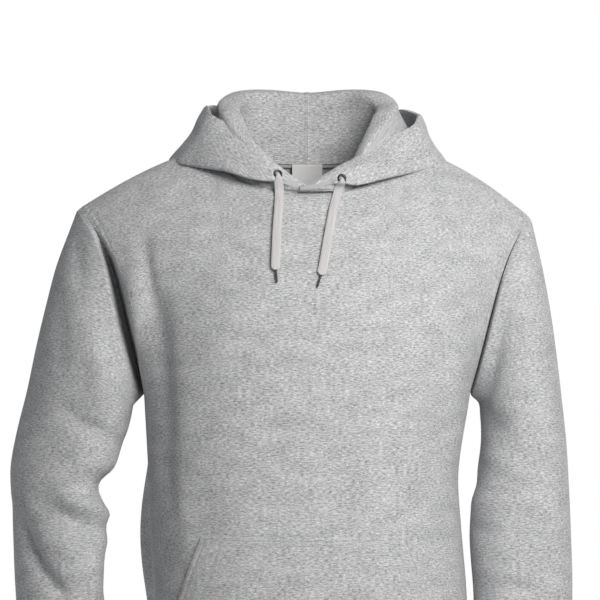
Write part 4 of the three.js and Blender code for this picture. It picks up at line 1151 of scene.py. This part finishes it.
class HoodieSettings(PropertyGroup):
    """Sizes and colours of the hoodie that a user would change."""

    fleece_thickness: FloatProperty(
        name="Fleece", description="Thickness of the body and sleeve cloth", default=0.0024, unit="LENGTH"
    )
    hood_thickness: FloatProperty(
        name="Hood shell", description="Thickness of the hood's outer cloth", default=0.0020, unit="LENGTH"
    )
    lining_thickness: FloatProperty(
        name="Hood lining", description="Thickness of the hood's inner cloth", default=0.0016, unit="LENGTH"
    )
    rib_thickness: FloatProperty(
        name="Rib", description="Thickness of the knitted rib", default=0.0015, unit="LENGTH"
    )
    seam_depth: FloatProperty(
        name="Seam depth", description="How far cloth rolls in at a seam", default=0.0016, unit="LENGTH"
    )
    stitch_pitch: FloatProperty(
        name="Stitch pitch", description="Length of one stitch", default=0.0031, unit="LENGTH"
    )
    thread_width: FloatProperty(
        name="Thread width", description="Width of the sewing thread", default=0.0008, unit="LENGTH"
    )
    cord_width: FloatProperty(
        name="Cord width", description="Width of the flat drawcord", default=0.0105, unit="LENGTH"
    )
    cord_thickness: FloatProperty(
        name="Cord thickness", description="Thickness of the flat drawcord", default=0.0024, unit="LENGTH"
    )
    fleece: FloatVectorProperty(
        name="Fleece", description="Colour of the heather cloth", subtype="COLOR",
        default=(0.47, 0.475, 0.485),
    )
    rib: FloatVectorProperty(
        name="Rib", description="Colour of the ribbing", subtype="COLOR",
        default=(0.45, 0.455, 0.465),
    )
    cord: FloatVectorProperty(
        name="Cord", description="Colour of the drawcord", subtype="COLOR",
        default=(0.62, 0.61, 0.61),
    )
    tape: FloatVectorProperty(
        name="Tape", description="Colour of the neck tape", subtype="COLOR",
        default=(0.62, 0.62, 0.63),
    )
    label: FloatVectorProperty(
        name="Label", description="Colour of the blank neck label", subtype="COLOR",
        default=(0.86, 0.86, 0.86),
    )
    thread: FloatVectorProperty(
        name="Thread", description="Colour of the sewing thread", subtype="COLOR",
        default=(0.43, 0.435, 0.445),
    )
    metal: FloatVectorProperty(
        name="Eyelets", description="Colour of the dark metal eyelets", subtype="COLOR",
        default=(0.07, 0.07, 0.075),
    )
    key_power: FloatProperty(
        name="Key light", description="Power of the large light at the right", default=33.0, min=0.0
    )
    back_power: FloatProperty(
        name="Back light", description="Power of the soft lights behind the garment", default=22.0, min=0.0
    )
    ambient: FloatProperty(
        name="Ambient", description="Strength of the light from all round", default=0.16, min=0.0
    )


class HOODIE_OT_stage(Operator):
    """Sets up the camera, the soft lights, the white surround and the pale floor"""

    bl_idname = "hoodie.stage"
    bl_label = "Stage and camera"

    def execute(self, context):
        self.camera(context.scene)
        self.lights(context.scene)
        self.surround(context.scene)
        self.floor()
        return {"FINISHED"}

    def camera(self, scene):
        camera = bpy.data.cameras.new("Camera")
        camera.lens = LENS
        camera.sensor_width = SENSOR
        camera.dof.use_dof = False
        view = bpy.data.objects.new("Camera", camera)
        view.location = CAMERA_AT
        view.rotation_euler = (math.radians(90), 0, 0)
        scene.collection.objects.link(view)
        scene.camera = view
        scene.view_settings.view_transform = "Standard"

    def lights(self, scene):
        for name, place, power, share, size, color in LIGHTS:
            light = bpy.data.lights.new(name, "AREA")
            light.shape = "DISK"
            light.size = size
            light.energy = getattr(scene.hoodie, power) * share
            light.color = color
            lamp = bpy.data.objects.new(name, light)
            lamp.location = place
            aim = Vector(LIT_AT) - Vector(place)
            lamp.rotation_euler = aim.to_track_quat("-Z", "Y").to_euler()
            scene.collection.objects.link(lamp)

    def surround(self, scene):
        """A surround that is seen white and casts only a little light."""
        world = bpy.data.worlds.new("White surround")
        world.use_nodes = True
        tree = world.node_tree
        seen = tree.nodes["Background"]
        seen.inputs["Color"].default_value = (1, 1, 1, 1)
        seen.inputs["Strength"].default_value = 1.0
        cast = tree.nodes.new("ShaderNodeBackground")
        cast.inputs["Color"].default_value = (0.97, 0.985, 1, 1)
        cast.inputs["Strength"].default_value = scene.hoodie.ambient
        path = tree.nodes.new("ShaderNodeLightPath")
        choose = tree.nodes.new("ShaderNodeMixShader")
        tree.links.new(path.outputs["Is Camera Ray"], choose.inputs["Fac"])
        tree.links.new(cast.outputs["Background"], choose.inputs[1])
        tree.links.new(seen.outputs["Background"], choose.inputs[2])
        tree.links.new(choose.outputs["Shader"], tree.nodes["World Output"].inputs["Surface"])
        scene.world = world

    def floor(self):
        bm = bmesh.new()
        bmesh.ops.create_circle(bm, cap_ends=True, segments=FLOOR["sides"], radius=FLOOR["radius"])
        bmesh.ops.translate(bm, verts=bm.verts[:], vec=(0, 0, CAD_BOX[0][2] - FLOOR["below"]))
        floor = as_piece(bm, "Floor")
        pale = Nodes("Pale floor")
        tint = pale.noise(pale.add("ShaderNodeTexCoord").outputs["Object"], 3.0)
        floor.data.materials.append(pale.finish(pale.ramp(tint, ((0.3, 0.72), (0.7, 0.76))), 0.9))


def smooth_route(route, steps):
    """Points and directions at even steps along a smooth line through a route, and its length."""
    route = [Vector(p) for p in route]
    ends = [route[0] * 2 - route[1], *route, route[-1] * 2 - route[-2]]
    fine = []
    for k in range(1, len(ends) - 2):
        p = ends[k - 1:k + 3]
        t = [0.0]
        for a, b in zip(p, p[1:]):
            t.append(t[-1] + math.sqrt((b - a).length))
        for s in np.linspace(t[1], t[2], 41)[:-1]:
            a = [((t[n + 1] - s) * p[n] + (s - t[n]) * p[n + 1]) / (t[n + 1] - t[n]) for n in range(3)]
            b = [((t[n + 2] - s) * a[n] + (s - t[n]) * a[n + 1]) / (t[n + 2] - t[n]) for n in range(2)]
            fine.append(((t[2] - s) * b[0] + (s - t[1]) * b[1]) / (t[2] - t[1]))
    fine.append(route[-1])
    line = np.array(fine)
    run = lengths(line, 0)
    even = np.linspace(0, run[-1], steps + 1)
    places = np.stack([np.interp(even, run, line[:, n]) for n in range(3)], axis=1)
    return places, unit(np.gradient(places, axis=0)), run[-1]


def eyelet_place(side):
    """Where an eyelet sits on the hood, and the way it faces."""
    grid = hood_grid(side)
    normals = hood_facing(side, grid)
    degrees, along = EYELET_AT[side]
    row = np.array([degrees / HOOD_END[side] * HOOD_STEPS])
    column = np.array([along * (grid.shape[1] - 1)])
    return refined(grid, row, column)[0, 0], unit(refined(normals, row, column)[0, 0])


def hood_facing(side, grid):
    """The hood's directions: the shell looks away from the neck at its seam."""
    normals = grid_normals(grid)
    middle = grid.shape[0] // 2
    radial = hood_direction(side, HOOD_END[side] * middle / HOOD_STEPS)
    return -normals if normals[middle, 1] @ radial < 0 else normals


def chest_tree():
    """The front panel and the hood as one surface that the cords hang against."""
    places, cells = [], []
    across = np.linspace(-0.45, 0.45, 61)
    row = np.linspace(ROWS_BELOW + 2, ROWS, 61)
    sheets = [body_sheet("front", across, row)[0]]
    for side in SIDES:
        rows = np.linspace(HOOD_STEPS * 0.6, HOOD_STEPS, 61)
        sheets.append(refined(hood_grid(side), rows, np.linspace(0, 12, 61)))
    for sheet in sheets:
        base = len(places)
        tall, wide = sheet.shape[:2]
        places.extend(sheet.reshape(-1, 3))
        for i in range(tall - 1):
            for j in range(wide - 1):
                a = base + i * wide + j
                cells.append((a, a + 1, a + wide + 1, a + wide))
    return BVHTree.FromPolygons([Vector(p) for p in places], cells)


class HOODIE_OT_cords(Operator):
    """Makes the two free ends of the flat braided drawcord, with their pinched tips"""

    bl_idname = "hoodie.cords"
    bl_label = "Drawcord"

    def execute(self, context):
        settings = context.scene.hoodie
        width, thick = settings.cord_width / MM, settings.cord_thickness / MM
        chest = chest_tree()
        for side in SIDES:
            places, tangents, total = smooth_route(self.route(side, chest, thick), CORD_FINE["steps"])
            grid = self.skin(places, tangents, total, width, thick)
            piece = lay_cloth(f"Drawcord_{side}", grid, unit(grid - places[:, None]), 0, wrap=True)
            self.close_ends(piece, places[-1])
            dress(piece, None, "cord", f"drawcord_{side}")
        return {"FINISHED"}

    def route(self, side, chest, thick):
        """Out of the eyelet, then down in front of whatever the cord hangs against."""
        place, normal = eyelet_place(side)
        route = [place + normal * out + [0, 0, up] for out, up in CORD_START]
        last = len(CORD_ROUTE[side]) - 1
        for k, (x, z) in enumerate(CORD_ROUTE[side]):
            hits = [chest.ray_cast(Vector((x + dx, -400, z)), Vector((0, 1, 0)))[0] for dx in (-4, 0, 4)]
            off = CORD_OFF * smooth(k / 2) * (1 - 0.6 * smooth((k - last + 2) / 2))
            y = min(hit.y for hit in hits if hit) - thick / 2 - CORD_GAP - off
            route.append(np.array([x, y, z]))
        return route

    def skin(self, places, tangents, total, width, thick):
        """The cord's surface: gathered in its eyelet, flat on its way and pinched at its tip."""
        run = np.linspace(0, total, len(places))
        left = total - run
        opens = smooth((run - CORD_THROAT["from"]) / CORD_THROAT["reach"])
        body = width / 2 * mix(CORD_THROAT["share"], 1, opens)
        pinch = smooth((CORD_TIP["length"] + 3 - left) / 5)
        half = mix(body, CORD_TIP["width"] / 2, pinch)
        half = half * mix(1, 0.75, smooth((1.5 - left) / 1.5))
        high = mix(thick / 2, thick / 2 * 0.9, pinch)
        side_way = unit(np.array([1.0, 0, 0]) - tangents * tangents[:, :1])
        away = unit(np.cross(tangents, side_way))
        turn = np.linspace(0, 2 * np.pi, CORD_FINE["around"] + 1)
        across = bow(np.cos(turn), 0.75)
        up = bow(np.sin(turn), 0.8) * (1 - 0.16 * np.cos(turn * 2))
        return (
            places[:, None]
            + side_way[:, None] * (half[:, None] * across[None, :])[..., None]
            + away[:, None] * (high[:, None] * up[None, :])[..., None]
        )

    def close_ends(self, piece, low_end):
        """Closes the cord's two ends and gives its tip the darker colour, partly a darker tip and partly
        painted shade.
        """
        bm = bmesh.new()
        bm.from_mesh(piece.data)
        open_edges = [e for e in bm.edges if e.is_boundary]
        bmesh.ops.holes_fill(bm, edges=open_edges, sides=0)
        tip = CORD_TIP["length"] * MM
        low = Vector(low_end * MM)
        tips = [(face.calc_center_median() - low).length < tip for face in bm.faces]
        bm.to_mesh(piece.data)
        bm.free()
        piece.data.materials.append(material("Braided cord"))
        piece.data.materials.append(material("Cord tip"))
        piece.data.polygons.foreach_set("material_index", [int(is_tip) for is_tip in tips])


class HOODIE_OT_body(Operator):
    """Makes the front and back panels, with their folds and rolled seams"""

    bl_idname = "hoodie.body"
    bl_label = "Front and back"

    def execute(self, context):
        settings = context.scene.hoodie
        across = crowded(BODY_FINE["across"], BODY_FINE["across_crowd"]) * 2 - 1
        row = crowded(BODY_FINE["along"], BODY_FINE["along_crowd"]) * ROWS
        for face in ("front", "back"):
            grid, normals = body_sheet(face, across, row)
            depth = settings.seam_depth / MM
            edges = {"start": depth * 0.8, "end": depth * 0.8, "top": depth, "bottom": depth * 0.6}
            away = {"left": lengths(grid, 1)}
            away["right"] = away["left"][:, -1:] - away["left"]
            run = lengths(grid, 0)
            above = row[:, None] > ROWS_BELOW
            for gap in away.values():
                grid = grid + normals * (above * sewn_relief(gap, run))[..., None]
            grid = sunk_edges(grid, normals, edges, EDGE_REACH)
            if face == "front":
                for side, gap in away.items():
                    grid[..., 1] += arm_fold(side, seam_heights(grid, side), gap)
            piece = lay_cloth(face.capitalize(), grid, normals, settings.fleece_thickness)
            dress(piece, material("Heather fleece"), "fleece", face)
        return {"FINISHED"}


class HOODIE_OT_sleeves(Operator):
    """Makes the two sleeves, creased at the elbow and above the cuff"""

    bl_idname = "hoodie.sleeves"
    bl_label = "Sleeves"

    def execute(self, context):
        settings = context.scene.hoodie
        turns = np.linspace(0, 1, 109)
        alongs = crowded(SLEEVE_FINE["along"], SLEEVE_FINE["crowd"])
        for side in SIDES:
            turn, along = np.meshgrid(turns, alongs)
            grid = sleeve_points(side, turn, along)
            normals = looking(grid - grid.mean(axis=1, keepdims=True), facing_out(grid, wrap=True))
            step = along * SLEEVE_RINGS
            hold = smooth(step / 4) * smooth((SLEEVE_RINGS - step) / 2)
            folds = SLEEVE_FOLDS[side] + SLEEVE_CREASES[side]
            height = hold * sleeve_fold_height(folds, turn, grid[..., 2])
            ahead = (turn + 0.25) % 1
            front = smooth((ahead - 0.2) / 0.08) * smooth((0.8 - ahead) / 0.08)
            creases = fold_height(SLEEVE_FRONT_CREASES[side], grid[..., 0], grid[..., 2])
            height += front * smooth(step / 1.5) * creases
            height += self.gathers(turn, step)
            grid = grid + normals * height[..., None]
            depth = settings.seam_depth / MM
            grid = sunk_edges(grid, normals, {"bottom": depth * 1.1, "top": depth}, EDGE_REACH)
            fallen = arm_fold(side, grid[:1, :, 2], lengths(grid, 0) * SLEEVE_STEEPER)
            grid[..., 1] += (turn < 0.5) * fallen
            piece = lay_cloth(f"Sleeve_{side}", grid, normals, settings.fleece_thickness, wrap=True)
            dress(piece, material("Heather fleece"), "fleece", f"sleeve_{side}")
        return {"FINISHED"}

    def gathers(self, turn, step):
        """Small uneven pleats where the sleeve is eased on to its cuff."""
        wave = np.sin(2 * np.pi * (turn * 15 + 0.3 * np.sin(turn * 19)))
        near = np.exp(-(((SLEEVE_RINGS - step) / 1.1) ** 2)) * smooth((SLEEVE_RINGS - step) / 0.3)
        return 1.4 * wave * near * (0.6 + 0.4 * np.sin(turn * 23))


class HOODIE_OT_hood(Operator):
    """Makes the hood's two sides, each a shell with a lining of the same cloth"""

    bl_idname = "hoodie.hood"
    bl_label = "Hood"

    def execute(self, context):
        settings = context.scene.hoodie
        for side in SIDES:
            rows = crowded(HOOD_FINE["rows"], HOOD_FINE["rows_crowd"]) * HOOD_STEPS
            columns = crowded(HOOD_FINE["columns"], HOOD_FINE["columns_crowd"]) * HOOD_COLUMNS
            rough = hood_grid(side)
            facing = even_normals(hood_facing(side, rough), 3)
            facing[0, :, 0] = 0
            grid = refined(rough, rows, columns)
            normals = unit(refined(unit(facing), rows, columns))
            edge = lengths(grid, 1)
            roll = np.exp(-(((edge[:, -1:] - edge) / HOOD_EDGE["roll_reach"]) ** 2))
            drops = NECK_ALLOWANCE * (1 - LAP["trim"] * lap_share(side, rows / HOOD_STEPS * HOOD_END[side]))
            outer, facing = self.shell(side, grid, normals, roll, drops)
            cut = self.cut(outer, side)
            piece = lay_cloth(f"Hood_{side}", outer, facing, settings.hood_thickness, cut=cut)
            dress(piece, material("Heather fleece"), "fleece", f"hood_{side}")
            lining = self.lining(grid, normals, roll, settings.hood_thickness / MM)
            cut = self.cut(lining, side)
            inner = lay_cloth(f"Hood_lining_{side}", lining, normals, settings.lining_thickness, cut=cut)
            dress(inner, material("Heather fleece"), "fleece", f"hood_lining_{side}")
        return {"FINISHED"}

    def shell(self, side, grid, normals, roll, drops):
        """The outer cloth, with the allowance that hangs below its neck seam."""
        edge = lengths(grid, 1)
        seam = np.exp(-((edge / HOOD_EDGE["roll_reach"]) ** 2))
        outer = sunk_edges(grid, normals, {"start": HOOD_EDGE["sink"]}, HOOD_EDGE["reach"])
        outer = outer - normals * (HOOD_EDGE["roll"] * roll + HOOD_EDGE["roll"] * seam)[..., None]
        outer = self.dimple(outer, normals, side)
        below = outer[:, :1] + np.array([[[0, 0, -1], [0, 0, -0.5]]]) * drops[:, None, None]
        normals = np.concatenate([normals[:, :1], normals[:, :1], normals], axis=1)
        return np.concatenate([below, outer], axis=1), normals

    def lining(self, grid, normals, roll, shell_thickness):
        """The inner cloth, just inside the shell, drawn in at the seam down the middle of the hood."""
        lining = grid - normals * (shell_thickness + PLY_GAP - HOOD_EDGE["lining_roll"] * roll)[..., None]
        middle = np.exp(-((lengths(grid, 0) / HOOD_EDGE["reach"]) ** 2))
        return lining - normals * (HOOD_EDGE["roll"] * middle)[..., None]

    def cut(self, grid, side):
        """The hood's own map: level with the neck seam inside, and with the free edge on the flap."""
        round_neck, from_seam = lengths(grid, 0), lengths(grid, 1)
        columns = grid.shape[1]
        share = np.arange(columns) / columns
        outside = smooth((share - HOOD_MAP["turn"]) / HOOD_MAP["reach"])[None, :]
        anchor = int(HOOD_MAP["flap_row"] * (grid.shape[0] - 1))
        on_flap = round_neck - round_neck[anchor:anchor + 1]
        to_edge = from_seam - from_seam[:, -1:] + from_seam[:, -1:].mean()
        offset = 0 if side == "left" else HOOD_MAP["right_offset"]
        return mix(round_neck, on_flap, outside) + offset, mix(from_seam, to_edge, outside) + offset

    def dimple(self, grid, normals, side):
        """The cloth drawn in through the eyelet."""
        place, _ = eyelet_place(side)
        near = np.linalg.norm(grid - place, axis=-1)
        sink = EYELET_DIMPLE["depth"] * np.exp(-((near / EYELET_DIMPLE["reach"]) ** 4))
        return grid - normals * sink[..., None]


class HOODIE_OT_ribs(Operator):
    """Makes the ribbed waistband and the two ribbed cuffs"""

    bl_idname = "hoodie.ribs"
    bl_label = "Waistband and cuffs"

    def execute(self, context):
        thickness = context.scene.hoodie.rib_thickness
        band, total = ribbed("Waistband", band_points, thickness)
        dress(band, material("Heather rib"), "rib", "waistband")
        for side in SIDES:
            cuff, total = ribbed(f"Cuff_{side}", partial(cuff_points, side), thickness)
            dress(cuff, material("Heather rib"), "rib", f"cuff_{side}")
        return {"FINISHED"}


def pocket_sheet(across, climb):
    """The pocket's face: across from -1 to 1, climb from its bottom to its top edge."""
    z = mix(POCKET["bottom"], POCKET["top"], climb)
    start = POCKET["bottom"] + POCKET["straight"]
    share = np.clip((z - start) / (POCKET["top"] - start), 0, 1)
    half = mix(POCKET["bottom_half"], POCKET["top_half"], share)
    x = POCKET["mid_x"] + across * half
    base, height = front_at(x, z)
    normals = looking(np.array([0, -1, 0]), facing_out(base))
    gape = POCKET_MOUTH * np.sin(np.pi * share) * np.abs(across) ** 3
    lift = height + POCKET_LIFT + gape + bpy.context.scene.hoodie.fleece_thickness / MM
    for name, (start_at, end_at) in POCKET_STITCHES.items():
        if name.startswith("top"):
            away = np.abs(climb - start_at[1]) * (POCKET["top"] - POCKET["bottom"])
            near = np.abs(across) < 0.99
        else:
            along = np.clip((climb - start_at[1]) / (end_at[1] - start_at[1]), 0, 1)
            away = np.abs(across - mix(start_at[0], end_at[0], along)) * half
            near = (climb - start_at[1]) * (climb - end_at[1]) <= 0
        lift = lift - near * STITCH_DIP * np.exp(-((away / 1.3) ** 2))
    return base + normals * lift[..., None], normals


class HOODIE_OT_pocket(Operator):
    """Makes the kangaroo pocket, which lies on the front and gapes a little at its two mouths"""

    bl_idname = "hoodie.pocket"
    bl_label = "Kangaroo pocket"

    def execute(self, context):
        settings = context.scene.hoodie
        across = crowded(POCKET_FINE["across"], POCKET_FINE["crowd"]) * 2 - 1
        climb = crowded(POCKET_FINE["along"], POCKET_FINE["crowd"])
        grid, normals = pocket_sheet(*np.meshgrid(across, climb))
        depth = settings.seam_depth / MM
        edges = {"top": depth * 0.9, "bottom": depth * 0.5, "start": 0.5, "end": 0.5}
        grid = sunk_edges(grid, normals, edges, 2.2)
        piece = lay_cloth("Pocket", grid, normals, settings.fleece_thickness)
        dress(piece, material("Heather fleece"), "fleece", "pocket")
        return {"FINISHED"}


class HOODIE_OT_eyelets(Operator):
    """Turns the two dark metal eyelets"""

    bl_idname = "hoodie.eyelets"
    bl_label = "Eyelets"

    def execute(self, context):
        hole, ring, height = EYELET["hole"], EYELET["ring"], EYELET["height"]
        profile = (
            (hole, -EYELET["depth"]),
            (hole, height - 0.4),
            (hole + 0.35, height + 0.25),
            (hole + 1.0, height + 0.45),
            (ring - 0.7, height),
            (ring - 0.1, 0.55),
            (ring, 0.2),
            (ring - 0.4, -0.1),
        )
        for side in SIDES:
            place, normal = eyelet_place(side)
            bm = bmesh.new()
            bm.loops.layers.uv.new("cut")
            verts = [bm.verts.new((r * MM, 0, h * MM)) for r, h in profile]
            edges = [bm.edges.new(pair) for pair in zip(verts, verts[1:])]
            bmesh.ops.spin(
                bm,
                geom=verts + edges,
                cent=(0, 0, 0),
                axis=(0, 0, 1),
                angle=2 * math.pi,
                steps=EYELET["turns"],
                use_merge=True,
            )
            bmesh.ops.remove_doubles(bm, verts=bm.verts[:], dist=0.01 * MM)
            bmesh.ops.recalc_face_normals(bm, faces=bm.faces[:])
            turn = Vector(normal).to_track_quat("Z", "Y").to_matrix().to_4x4()
            bmesh.ops.transform(bm, matrix=Matrix.Translation(Vector(place * MM)) @ turn, verts=bm.verts[:])
            for face in bm.faces:
                face.smooth = True
            piece = as_piece(bm, f"Eyelet_{side}")
            add_wall(piece, EYELET["wall"] * MM)
            dress(piece, material("Dark nickel"), "eyelet", f"eyelet_{side}")
        return {"FINISHED"}


def back_inside(half, drops, depth, lean=0.0):
    """Points on the inside of the back panel below its neckline, and the way out of the cloth."""
    across = np.degrees(np.arcsin(np.linspace(-half, half, 49) / NECK["half_width"])) * NECK_SHARE / 90
    row = np.linspace(ROWS - 5, ROWS, 401)
    sheet = body_points("back", across[None, :], row[:, None])
    run = lengths(sheet[::-1], 0)[::-1]
    normals = looking(np.array([0, 1, 0]), facing_out(sheet))
    grid, facing = [], []
    for drop in drops:
        spots = nearest(run, drop)
        rise = np.array([0, 0, max(-drop, 0)])
        grid.append(sheet[spots] + rise - normals[spots] * (depth + lean * max(drop, 0)))
        facing.append(-normals[spots])
    return np.array(grid), np.array(facing)


class HOODIE_OT_neck(Operator):
    """Makes the neck tape and the blank label inside the back of the neck"""

    bl_idname = "hoodie.neck"
    bl_label = "Neck tape and label"

    def execute(self, context):
        drops = np.linspace(-TAPE["above"], TAPE["width"] - TAPE["above"], 13)
        grid, facing = back_inside(TAPE["reach"], drops, TAPE["depth"])
        tape = lay_cloth("Neck_tape", grid, facing, TAPE["thick"] * MM, soften=TRIM_SOFTEN)
        dress(tape, material("Neck tape"), "tape", "neck_tape")
        drops = np.linspace(LABEL["below"], LABEL["below"] + LABEL["height"], 25)
        grid, facing = back_inside(LABEL["width"] / 2, drops, LABEL["depth"], LABEL["lean"])
        label = lay_cloth("Label", grid, facing, LABEL["thick"] * MM, soften=TRIM_SOFTEN)
        dress(label, material("Woven label"), "label", "label")
        return {"FINISHED"}


class HOODIE_OT_sewing(Operator):
    """Sews the stitch lines beside the seams"""

    bl_idname = "hoodie.sewing"
    bl_label = "Sewing"

    def execute(self, context):
        self.armholes()
        self.pocket()
        self.neckline()
        self.hem()
        self.hood_seam()
        return {"FINISHED"}

    def armholes(self):
        """Two rows on the panels, beside each armhole seam and down into its fold."""
        rows = np.linspace(ROWS_BELOW + 0.4, ROWS - 0.1, 240)
        for side in SIDES:
            across = np.sort(np.linspace(0.9, 1, 61) * SIGN[side])
            for face in ("front", "back"):
                sheet, normals = body_sheet(face, across, rows)
                gap = lengths(sheet, 1)
                if side == "right":
                    gap = gap[:, -1:] - gap
                if face == "front":
                    sheet[..., 1] += arm_fold(side, seam_heights(sheet, side), gap)
                    normals = looking(normals, facing_out(sheet))
                for n, inset in enumerate(STITCH_ROWS):
                    spots = nearest(gap, inset, axis=1)
                    name = f"Armhole_stitches_{side}_{face}_{n + 1}"
                    sewn_line(name, sheet[spots], normals[spots], STITCH_LIFT["groove"])

    def hood_seam(self):
        """Stitches inside the stand, on each side of the seam down the middle of the hood."""
        settings = bpy.context.scene.hoodie
        depth = (settings.hood_thickness + settings.lining_thickness) / MM + PLY_GAP
        for side in SIDES:
            rough = hood_grid(side)
            facing = hood_facing(side, rough)
            rows, columns = np.linspace(0, 1, 41), np.linspace(0.3, 3.6, 121)
            grid, normals = refined(rough, rows, columns), unit(refined(facing, rows, columns))
            spots = nearest(lengths(grid, 0), HOOD_SEAM_ROW)
            line = grid[spots] - normals[spots] * depth
            sewn_line(f"Hood_seam_stitches_{side}", line, -normals[spots], STITCH_LIFT["cloth"])

    def pocket(self):
        """The rows along the pocket's top edge, its mouths and the short sides below them."""
        sheet, normals = pocket_sheet(*np.meshgrid(np.linspace(-1, 1, 201), np.linspace(0, 1, 141)))
        for name, (start, end) in POCKET_STITCHES.items():
            columns = (np.linspace(start[0], end[0], 200) + 1) * 100
            rows = np.linspace(start[1], end[1], 200) * 140
            spots = list(zip(rows, columns))
            line = np.array([refined(sheet, np.array([r]), np.array([c]))[0, 0] for r, c in spots])
            out = np.array([normals[int(round(r)), int(round(c))] for r, c in spots])
            sewn_line(f"Pocket_stitches_{name}", line, out, STITCH_LIFT["pocket"])

    def neckline(self):
        """One row on the panels, round the neck below the hood's seam."""
        for face in ("front", "back"):
            across = np.linspace(-0.5, 0.5, 301)
            sheet, normals = body_sheet(face, across, np.linspace(ROWS - 1.5, ROWS, 121))
            gap = lengths(sheet, 0)
            spots = nearest(gap[-1:] - gap, NECK_ROW)
            sewn_line(f"Neck_stitches_{face}", sheet[spots], normals[spots], STITCH_LIFT["cloth"])

    def hem(self):
        """Two rows above the waistband."""
        for face in ("front", "back"):
            across = np.linspace(-0.995, 0.995, 401)
            sheet, normals = body_sheet(face, across, np.linspace(0, 1.2, 61))
            for n, inset in enumerate(HEM_ROWS):
                spots = nearest(lengths(sheet, 0), inset)
                name = f"Hem_stitches_{face}_{n + 1}"
                sewn_line(name, sheet[spots], normals[spots], STITCH_LIFT["cloth"])


class HOODIE_PT_panel(Panel):
    """Lists the hoodie's pieces in the order in which they are made"""

    bl_label = "Pullover hoodie"
    bl_idname = "HOODIE_PT_panel"
    bl_space_type = "VIEW_3D"
    bl_region_type = "UI"
    bl_category = "Hoodie"

    def draw(self, context):
        for step in STEPS:
            self.layout.operator(step.bl_idname)
        for name in HoodieSettings.__annotations__:
            self.layout.prop(context.scene.hoodie, name)


STEPS = (
    HOODIE_OT_stage,
    HOODIE_OT_cords,
    HOODIE_OT_body,
    HOODIE_OT_sleeves,
    HOODIE_OT_hood,
    HOODIE_OT_ribs,
    HOODIE_OT_pocket,
    HOODIE_OT_eyelets,
    HOODIE_OT_neck,
    HOODIE_OT_sewing,
)
CLASSES = (HoodieSettings, *STEPS, HOODIE_PT_panel)


def register():
    for cls in CLASSES:
        bpy.utils.register_class(cls)
    bpy.types.Scene.hoodie = PointerProperty(type=HoodieSettings)


def unregister():
    del bpy.types.Scene.hoodie
    for cls in reversed(CLASSES):
        bpy.utils.unregister_class(cls)


def main():
    register()
    bpy.ops.hoodie.stage()
    bpy.ops.hoodie.cords()
    bpy.ops.hoodie.body()
    bpy.ops.hoodie.sleeves()
    bpy.ops.hoodie.hood()
    bpy.ops.hoodie.ribs()
    bpy.ops.hoodie.pocket()
    bpy.ops.hoodie.eyelets()
    bpy.ops.hoodie.neck()
    bpy.ops.hoodie.sewing()


if __name__ == "__main__":
    main()
